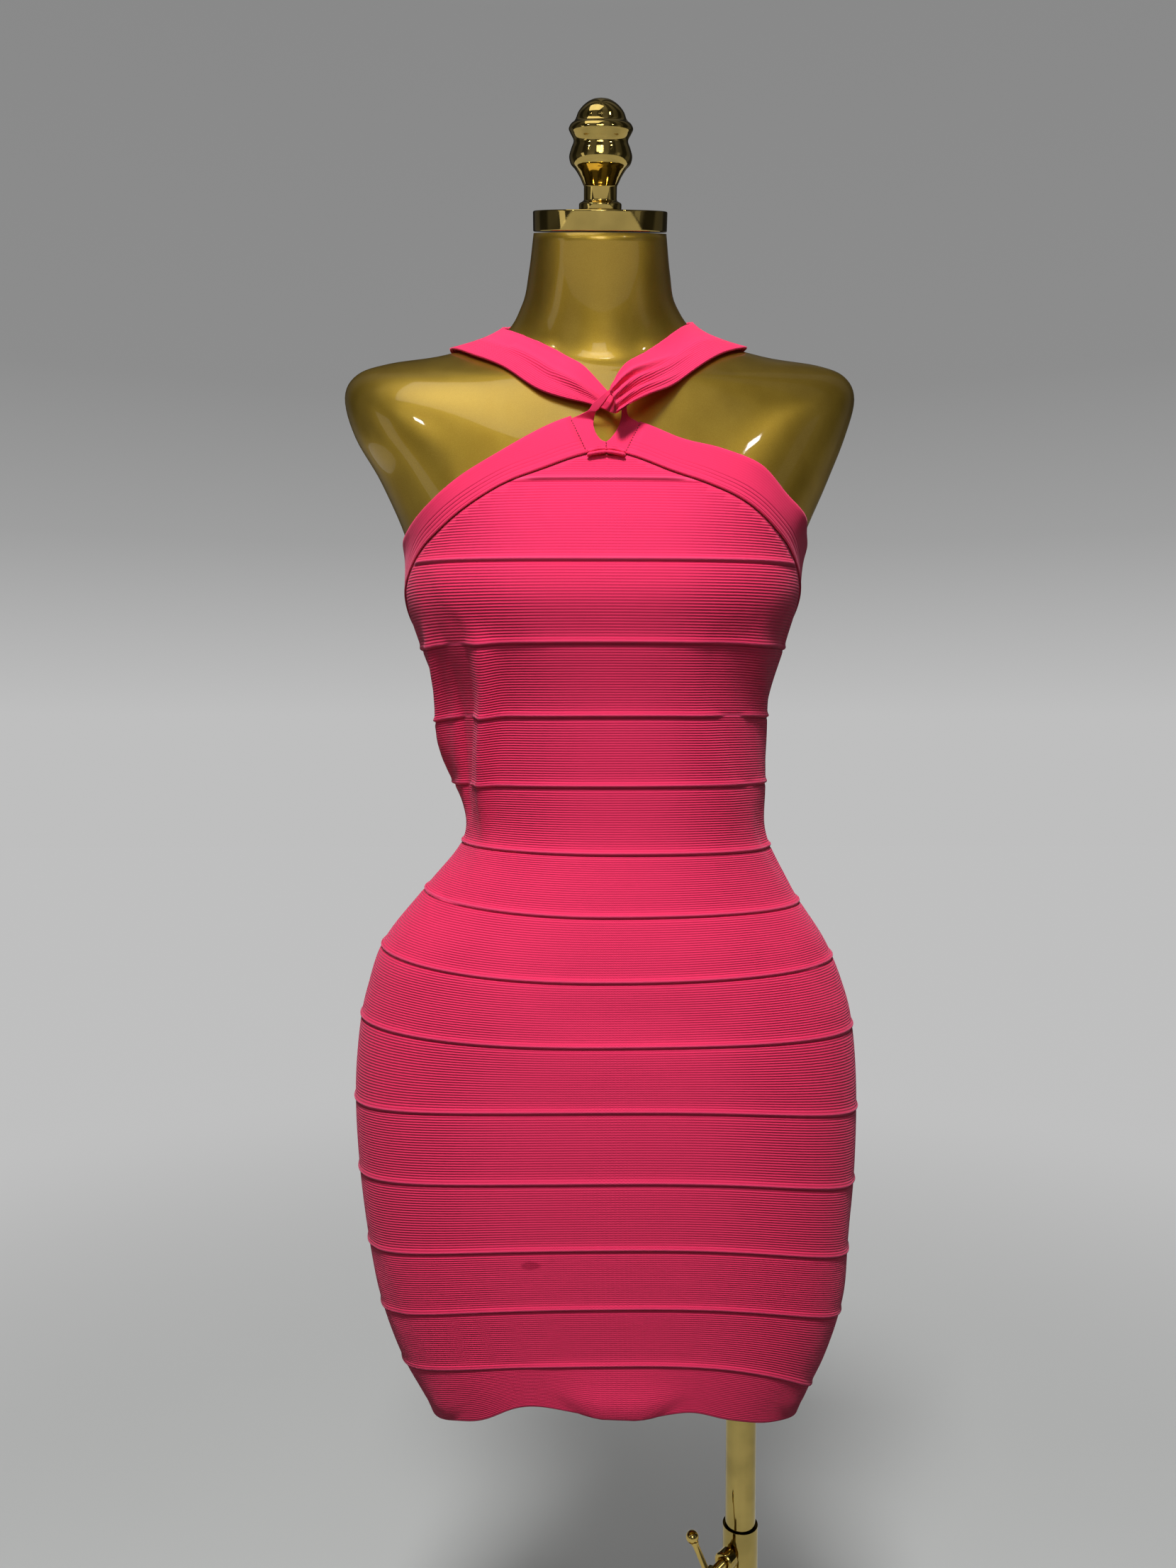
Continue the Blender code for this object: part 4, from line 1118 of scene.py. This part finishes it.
def stitches(name, tree, places, directions, thread, length, finish):
    """Stitches at places, each along its direction, as a plain mesh on the form."""
    mesh = bpy.data.meshes.new(name)
    mesh.from_pydata([tuple(place) for place in places], [], [])
    ahead = mesh.attributes.new("ahead", "FLOAT_VECTOR", "POINT")
    ahead.data.foreach_set("vector", np.asarray(directions, np.float32).ravel())
    source = bpy.data.objects.new(name + "_row", mesh)
    bpy.context.scene.collection.objects.link(source)
    maker = source.modifiers.new("stitches", "NODES")
    maker.node_group = tree
    sizes = {"Thread": thread, "Length": length, "Material": finish}
    for item in tree.interface.items_tree:
        if item.in_out == "INPUT" and item.name in sizes:
            maker[item.identifier] = sizes[item.name]
    graph = bpy.context.evaluated_depsgraph_get()
    made = bpy.data.meshes.new_from_object(source.evaluated_get(graph))
    made.name = name
    made.shade_smooth()
    bpy.data.objects.remove(source)
    return placed(name, made, finish, "form")


def along_path(path, pitch):
    """Points at an even pitch on a path, and the way it runs there."""
    path = np.array(path, float)
    run = np.concatenate([[0], np.cumsum(np.linalg.norm(np.diff(path, axis=0), axis=1))])
    at = np.arange(pitch / 2, run[-1], pitch)
    points = np.stack([np.interp(at, run, path[:, axis]) for axis in range(3)], axis=-1)
    ahead = np.gradient(points, axis=0)
    return points, ahead / np.linalg.norm(ahead, axis=1, keepdims=True)


def seam_line(turns, over, out):
    """A line on the cloth that follows the bands' lower edge, at a height over it."""
    line = []
    for degrees in turns:
        height = np.array([top_edge(degrees) + over])
        line.append(cloth_at(degrees, height, BAND_WALL, np.array([out]))[0])
    return line


# ---------------------------------------------------------------- the form and its stand


def form(finish):
    """The smooth form, from its rounded foot to the tilted top of the neck."""
    turns = np.arange(FORM_COLUMNS) * 360 / FORM_COLUMNS
    foot = np.array(FORM_FOOT)
    foot_at = curve(np.arange(len(foot)), foot, np.linspace(0, len(foot) - 1, 25))
    loops = []
    for height, inset in foot_at:
        level = np.array([height])
        loops.append([(figure_at(turn, level) - outward(turn, level) * inset)[0] for turn in turns])
    last = len(RINGS) - 1
    steps = np.linspace(FOOT_RING, last, (last - FOOT_RING) * 6 + 1)
    for row in curve(np.arange(len(RINGS)), RINGS, steps):
        loops.append(on_ring(np.repeat(row[None], len(turns), axis=0), turns))
    grid = np.array(loops)
    low = grid[0].mean(axis=0)
    high = grid[-1].mean(axis=0)
    bottom = [low + (grid[0] - low) * part for part in (0.0, 0.4, 0.8, 0.97)]
    top = [high + (grid[-1] - high) * part for part in (0.97, 0.6, 0.0)]
    mesh = grid_mesh("form_shell", np.concatenate([np.array(bottom), grid, np.array(top)]), closed=True)
    merge_doubles(mesh)
    return placed("form_shell", mesh, finish, "form", ("form_torso",))


def cap_and_finial(finish):
    """The disc on the neck and the turned finial on it, both tilted with the neck."""
    tilt = Matrix.Translation(CAP_CENTRE) @ Matrix.Rotation(NECK_TILT, 4, "X")
    half = CAP_THICK / 2
    cap = rounded(((half, 0), (half, CAP_RADIUS), (-half, CAP_RADIUS), (-half, 0)), 0.0011, 6)
    turned("neck_cap_disc", cap, finish, "form", tilt, 160, ("neck_cap",))
    foot = rounded(FINIAL_PROFILE[FINIAL_CURVED - 1 :] + ((0.0003, 0.0),), 0.0009)
    profile = [*polished(FINIAL_PROFILE[:FINIAL_CURVED]), *foot]
    on_cap = tilt @ Matrix.Translation((0, 0, half))
    turned("finial_turning", profile, finish, "form", on_cap, 96, ("finial",))


def tube_profile(low, top, outer, bore, edge, mouth=0.0, mouth_deep=0.004):
    """A tube's profile, closed on itself, with its bore wider by mouth at the top."""
    mid = top - mouth_deep
    wide = bore + mouth
    corners = ((mid, wide), (top, wide), (top, outer), (low, outer), (low, bore))
    return [(mid, bore), *rounded(corners, edge), (mid, bore)]


def pole(finish, base_finish, form_finish):
    """The two tubes, the socket under the form, and the base with its flange."""
    at = Matrix.Translation((POLE_X, 0, 0))
    upper = rounded(
        ((UPPER_TOP, 0), (UPPER_TOP, UPPER_RADIUS), (UPPER_LOW, UPPER_RADIUS), (UPPER_LOW, 0)), 0.0008
    )
    socket = tube_profile(SOCKET_LOW, SOCKET_TOP, SOCKET_RADIUS, BORE_RADIUS, 0.0015)
    foot = BASE_THICK + SEAM_GAP
    lower = tube_profile(foot, LOWER_TOP, LOWER_RADIUS, BORE_RADIUS, 0.0003, MOUTH_WIDER)
    round_tube = LOWER_RADIUS + SEAM_GAP
    flange = rounded(
        (
            (FLANGE_TOP, round_tube), (FLANGE_TOP, LOWER_RADIUS + 0.004),
            (BASE_THICK + 0.005, FLANGE_RADIUS - 0.004), (BASE_THICK + 0.004, FLANGE_RADIUS),
            (foot, FLANGE_RADIUS), (foot, round_tube),
        ),
        0.0012,
    )
    flange.append(flange[0])
    base = rounded(
        (
            (BASE_THICK, 0), (BASE_THICK, BASE_RADIUS - 0.004), (BASE_THICK - 0.002, BASE_RADIUS),
            (0.0, BASE_RADIUS), (0.0, 0),
        ),
        0.0012,
    )
    turned("upper_tube_gold", upper, finish, "pole", at, 96, ("upper_tube",))
    turned("pole_socket_gold", socket, form_finish, "form", at, 96, ("pole_socket",))
    turned("lower_tube_gold", lower, finish, "stand", at, 96, ("lower_tube",))
    turned("base_flange_gold", flange, base_finish, "stand", at, 96, ("base_flange",))
    turned("base_disc_gold", base, base_finish, "stand", None, 192, ("base_plate",))


def clamp(finish):
    """The clamp screw with its collar, and the bar with a ball at each end."""
    heading = Vector((math.cos(CLAMP_HEADING), math.sin(CLAMP_HEADING), 0))
    axis_point = Vector((POLE_X, 0, CLAMP_Z))
    on_axis = Matrix.Translation(axis_point) @ heading.to_track_quat("Z", "Y").to_matrix().to_4x4()
    boss_from, boss_to = LOWER_RADIUS + SEAM_GAP * 8, LOWER_RADIUS + BOSS_LENGTH
    bore = SCREW_RADIUS + SEAM_GAP
    boss = (
        (boss_to - 0.0010, bore), (boss_to, bore + 0.0008), (boss_to, BOSS_RADIUS - 0.0012),
        (boss_to - 0.0012, BOSS_RADIUS), (boss_from, BOSS_RADIUS), (boss_from, bore),
        (boss_to - 0.0010, bore),
    )
    collar = rounded(boss, 0.0004)
    turned("clamp_collar", collar, finish, "stand", on_axis, 64, ("clamp_boss",))
    screw = [
        (HEAD_TO, 0.0), (HEAD_TO - 0.0006, HEAD_RADIUS - 0.0016), (HEAD_TO - 0.0022, HEAD_RADIUS),
        (HEAD_FROM + 0.0016, HEAD_RADIUS), (HEAD_FROM + 0.0004, HEAD_RADIUS - 0.0010),
        (HEAD_FROM, SCREW_RADIUS),
    ]
    for count in range(int((HEAD_FROM - boss_to) / THREAD_PITCH)):
        turn_top = HEAD_FROM - count * THREAD_PITCH
        screw.append((turn_top - THREAD_PITCH * 0.25, SCREW_RADIUS))
        screw.append((turn_top - THREAD_PITCH * 0.75, SCREW_RADIUS - THREAD_DEEP))
    tip = UPPER_RADIUS + SEAM_GAP
    screw += [(boss_to, SCREW_RADIUS), (tip, SCREW_RADIUS), (tip, 0)]
    turned("clamp_screw_gold", screw, finish, "clamp", on_axis, 64, ("clamp_screw",))
    side = heading.cross(Vector((0, 0, 1))).normalized()
    along = side * math.cos(BAR_TURN) + Vector((0, 0, 1)) * math.sin(BAR_TURN)
    middle = Matrix.Translation(axis_point + heading * BAR_REACH)
    on_bar = middle @ along.to_track_quat("Z", "Y").to_matrix().to_4x4()
    half = BAR_LENGTH / 2
    start = math.asin(BAR_RADIUS / BALL_RADIUS)
    arc = [angle for angle in np.linspace(0, math.pi, 15) if angle < math.pi - start]
    one_end = [(half + BALL_RADIUS * math.cos(angle), BALL_RADIUS * math.sin(angle)) for angle in arc]
    one_end += [(half - 0.0046, BAR_RADIUS + 0.0006), (half - 0.0062, BAR_RADIUS)]
    bar = one_end + [(-height, radius) for height, radius in one_end[::-1]]
    turned("clamp_bar_gold", bar, finish, "clamp", on_bar, 40, ("clamp_bar",))


# ---------------------------------------------------------------- the studio


HAZE = 0.52  # the grey that the floor fades to


def floor():
    """A pale floor that fades into the surround far off."""
    mesh = bpy.data.meshes.new("studio_floor")
    reach = 9.0
    corners = [(-reach, -reach, 0), (reach, -reach, 0), (reach, reach, 0), (-reach, reach, 0)]
    mesh.from_pydata(corners, [], [(0, 1, 2, 3)])
    obj = bpy.data.objects.new("studio_floor", mesh)
    bpy.context.scene.collection.objects.link(obj)
    flat = {"Roughness": 0.85, "Emission_Strength": 1.0, "Specular_IOR_Level": 0.1}
    finish = Finish("pale_floor", (0.60, 0.61, 0.60), **flat)
    place = finish.place()
    x, y, _ = finish.axes(place)
    far = ((x * x + y * y) ** 0.5).ease(0.5, 2.6)
    near = finish.mix(finish.noise(place, 1.4, 3), (0.58, 0.59, 0.58), (0.64, 0.65, 0.64))
    finish.to("Base Color", finish.mix(far, near, (0.01, 0.01, 0.01)))
    finish.to("Emission Color", finish.mix(far, (0, 0, 0), (HAZE, HAZE, HAZE)))
    mesh.materials.append(finish.material)
    obj.visible_diffuse = False


def light(name, place, aim, width, depth, power):
    data = bpy.data.lights.new(name, "AREA")
    data.shape = "RECTANGLE"
    data.size = width
    data.size_y = depth
    data.energy = power
    obj = bpy.data.objects.new(name, data)
    obj.location = place
    obj.rotation_euler = (Vector(aim) - Vector(place)).to_track_quat("-Z", "Y").to_euler()
    bpy.context.scene.collection.objects.link(obj)
    return obj


SURROUND_LIGHT = 0.36  # the surround's strength as a light, in front
SURROUND_BEHIND = 0.13
LIGHTS = (
    # name, place, aim, width, power, depth, whether it lights cloth and whether it shows in reflections
    ("key", (-0.22, -1.35, 3.20), (0, 0, 1.0), 0.45, 79, 0.40, True, False),
    ("overhead", (0.20, 0.45, 3.2), (0, 0, 1.0), 1.0, 6, 0.6, True, False),
    ("right_fill", (2.4, -1.2, 1.7), (0, 0, 1.0), 0.5, 0.3, 1.2, True, True),
    ("left_fill", (-2.4, -1.0, 1.6), (0, 0, 1.0), 0.5, 1.4, 1.2, True, True),
    ("front_fill", (-0.2, -3.0, 2.5), (0, 0, 1.1), 1.2, 10, 0.8, True, True),
    ("back_fill", (0.4, 2.6, 2.4), (0, 0, 0.9), 1.4, 14, 1.4, True, False),
    ("chest_glow", (-0.50, -0.75, 3.0), (0, 0, 1.3), 1.2, 6.6, 1.0, False, True),
    ("neck_glow", (-0.05, -2.6, 1.9), (0, 0, 1.4), 0.5, 3.2, 0.7, False, True),
    ("spark_left", (-1.15, -1.2, 2.35), (0, 0, 1.3), 0.10, 1.2, 0.07, False, True),
    ("spark_right", (1.0, -1.3, 2.4), (0, 0, 1.3), 0.10, 1.2, 0.07, False, True),
    ("spark_front", (0.1, -2.3, 2.5), (0, 0, 1.2), 0.20, 1.2, 0.06, False, True),
)


def studio():
    """Plain soft light from above and a grey surround that pales towards the floor."""
    world = bpy.data.worlds.new("studio")
    world.use_nodes = True
    bpy.context.scene.world = world
    bpy.context.scene.view_settings.view_transform = "Standard"
    back = world.node_tree.nodes["Background"]
    web = Nodes(world.node_tree)
    x, y, z = web.axes(web.node("ShaderNodeTexCoord"))
    stops = (
        (0.0, HAZE), (0.5, HAZE), (0.53, 0.45), (0.57, 0.345), (0.63, 0.265), (0.75, 0.25),
        (0.86, 0.34), (1.0, 0.85),
    )
    tone = web.node("ShaderNodeValToRGB", {"stops": stops}, {"Fac": z * 0.5 + 0.5})
    # The lens sees the surround evenly. As a light it is weaker behind and falls in upright panels.
    seen = web.node("ShaderNodeLightPath")
    heading = x.sum("ARCTAN2", x, y)
    panels = (heading + z * 0.2).wave(math.radians(52)).ease(-0.5, 0.5) * 1.1 + 0.45
    above = z.ease(-0.25, 0.25) * 0.65 + 0.35
    strength = (y.ease(-0.1, -0.9) * (SURROUND_LIGHT - SURROUND_BEHIND) + SURROUND_BEHIND) * panels * above
    web.tree.links.new(tone.socket, back.inputs["Color"])
    web.tree.links.new((seen + (1 - seen) * strength).socket, back.inputs["Strength"])
    for name, place, aim, width, power, depth, on_cloth, reflected in LIGHTS:
        lamp = light(name, place, aim, width, depth, power)
        lamp.visible_diffuse = on_cloth
        lamp.visible_glossy = reflected


def camera():
    data = bpy.data.cameras.new("camera")
    data.lens = 27
    data.sensor_width = 36
    obj = bpy.data.objects.new("camera", data)
    obj.location = (-0.0279, -0.9047, 1.113)
    obj.rotation_euler = (math.radians(90 - 3.36), 0, math.radians(-1))
    bpy.context.scene.collection.objects.link(obj)
    bpy.context.scene.camera = obj


# ---------------------------------------------------------------- all of it

LEFT_TURNS = np.linspace(-90, -1.8, 64)
RIGHT_TURNS = np.linspace(1.8, 90, 64)
FRONT_TURNS = (*LEFT_TURNS, *RIGHT_TURNS)
BACK_TURNS = np.linspace(90, 270, 97)


def dress():
    tree = figure_tree()
    stain_across = strip_place(STAIN[1], strip_edges(STAIN_TURN))
    front_knit = knit("ribbed_knit_front", 1.0, rolls=True, stain=stain_across)
    back_knit = knit("ribbed_knit_back", 1.0, rolls=True)
    band_knit = knit("band_knit", 0.10, lines=(0.0030, 0.0056, 0.0082, 0.0108))
    strap_knit = knit("strap_knit", 0.9, ribbed_to=0.020)
    keyhole_knit = knit("keyhole_knit", 0.12)
    sheets = [
        (panel("front_panel", FRONT_TURNS, -1, front_knit), (0.42, 0.70), 0.9),
        (panel("back_panel", BACK_TURNS, 1, back_knit), (0.44, 0.62), 0.9),
        (band("neckline_band_left", LEFT_BAND, LEFT_TURNS, band_knit, side=-1), (0.215, 0.038), 1.0),
        (band("neckline_band_right", RIGHT_BAND, RIGHT_TURNS, band_knit, side=-1), (0.215, 0.038), 1.0),
        (band("back_band", BACK_BAND, BACK_TURNS, band_knit, True, 1), (0.36, 0.040), 1.0),
        (strap(tree, strap_knit), (0.50, 0.042), 1.0),
        (loop(tree, keyhole_knit), (0.085, 0.012), 1.0),
    ]
    for piece, flat, share in sheets:
        flat[0] * flat[1] * share
    keyhole_bar(tree, keyhole_knit)
    thread = sewing_thread("sewing_thread", THREAD)
    dark_thread = sewing_thread("seam_thread", THREAD_DARK)
    stitch = stitch_tree()
    for name, turns in (("left", LEFT_TURNS), ("right", RIGHT_TURNS)):
        line = seam_line(turns, 0.0004, 0.0003)
        points, ahead = along_path(line, 0.0015)
        stitches(f"overlock_{name}", stitch, points, ahead + np.array((0, 0, 0.9)), 0.00028, 0.0016, thread)
    for name, start, end in KEYHOLE_SEAMS:
        laid = []
        for part in np.linspace(0, 1, 25):
            x, z = np.array(start) * (1 - part) + np.array(end) * part
            near, normal = tree.find_nearest(Vector((x, -0.085, z)))[:2]
            laid.append(near + normal * (LOOP_CLEAR + 0.0003))
        points, ahead = along_path(laid, 0.0021)
        stitches(f"keyhole_stitches_{name}", stitch, points, ahead, 0.00036, 0.0013, dark_thread)


def main():
    camera()
    studio()
    floor()
    gold = painted_gold()
    bright = polished_gold()
    form(gold)
    cap_and_finial(bright)
    pole(polished_gold("pole_gold", (0.50, 0.38, 0.12), 0.02), brushed_gold(), gold)
    clamp(bright)
    dress()


main()
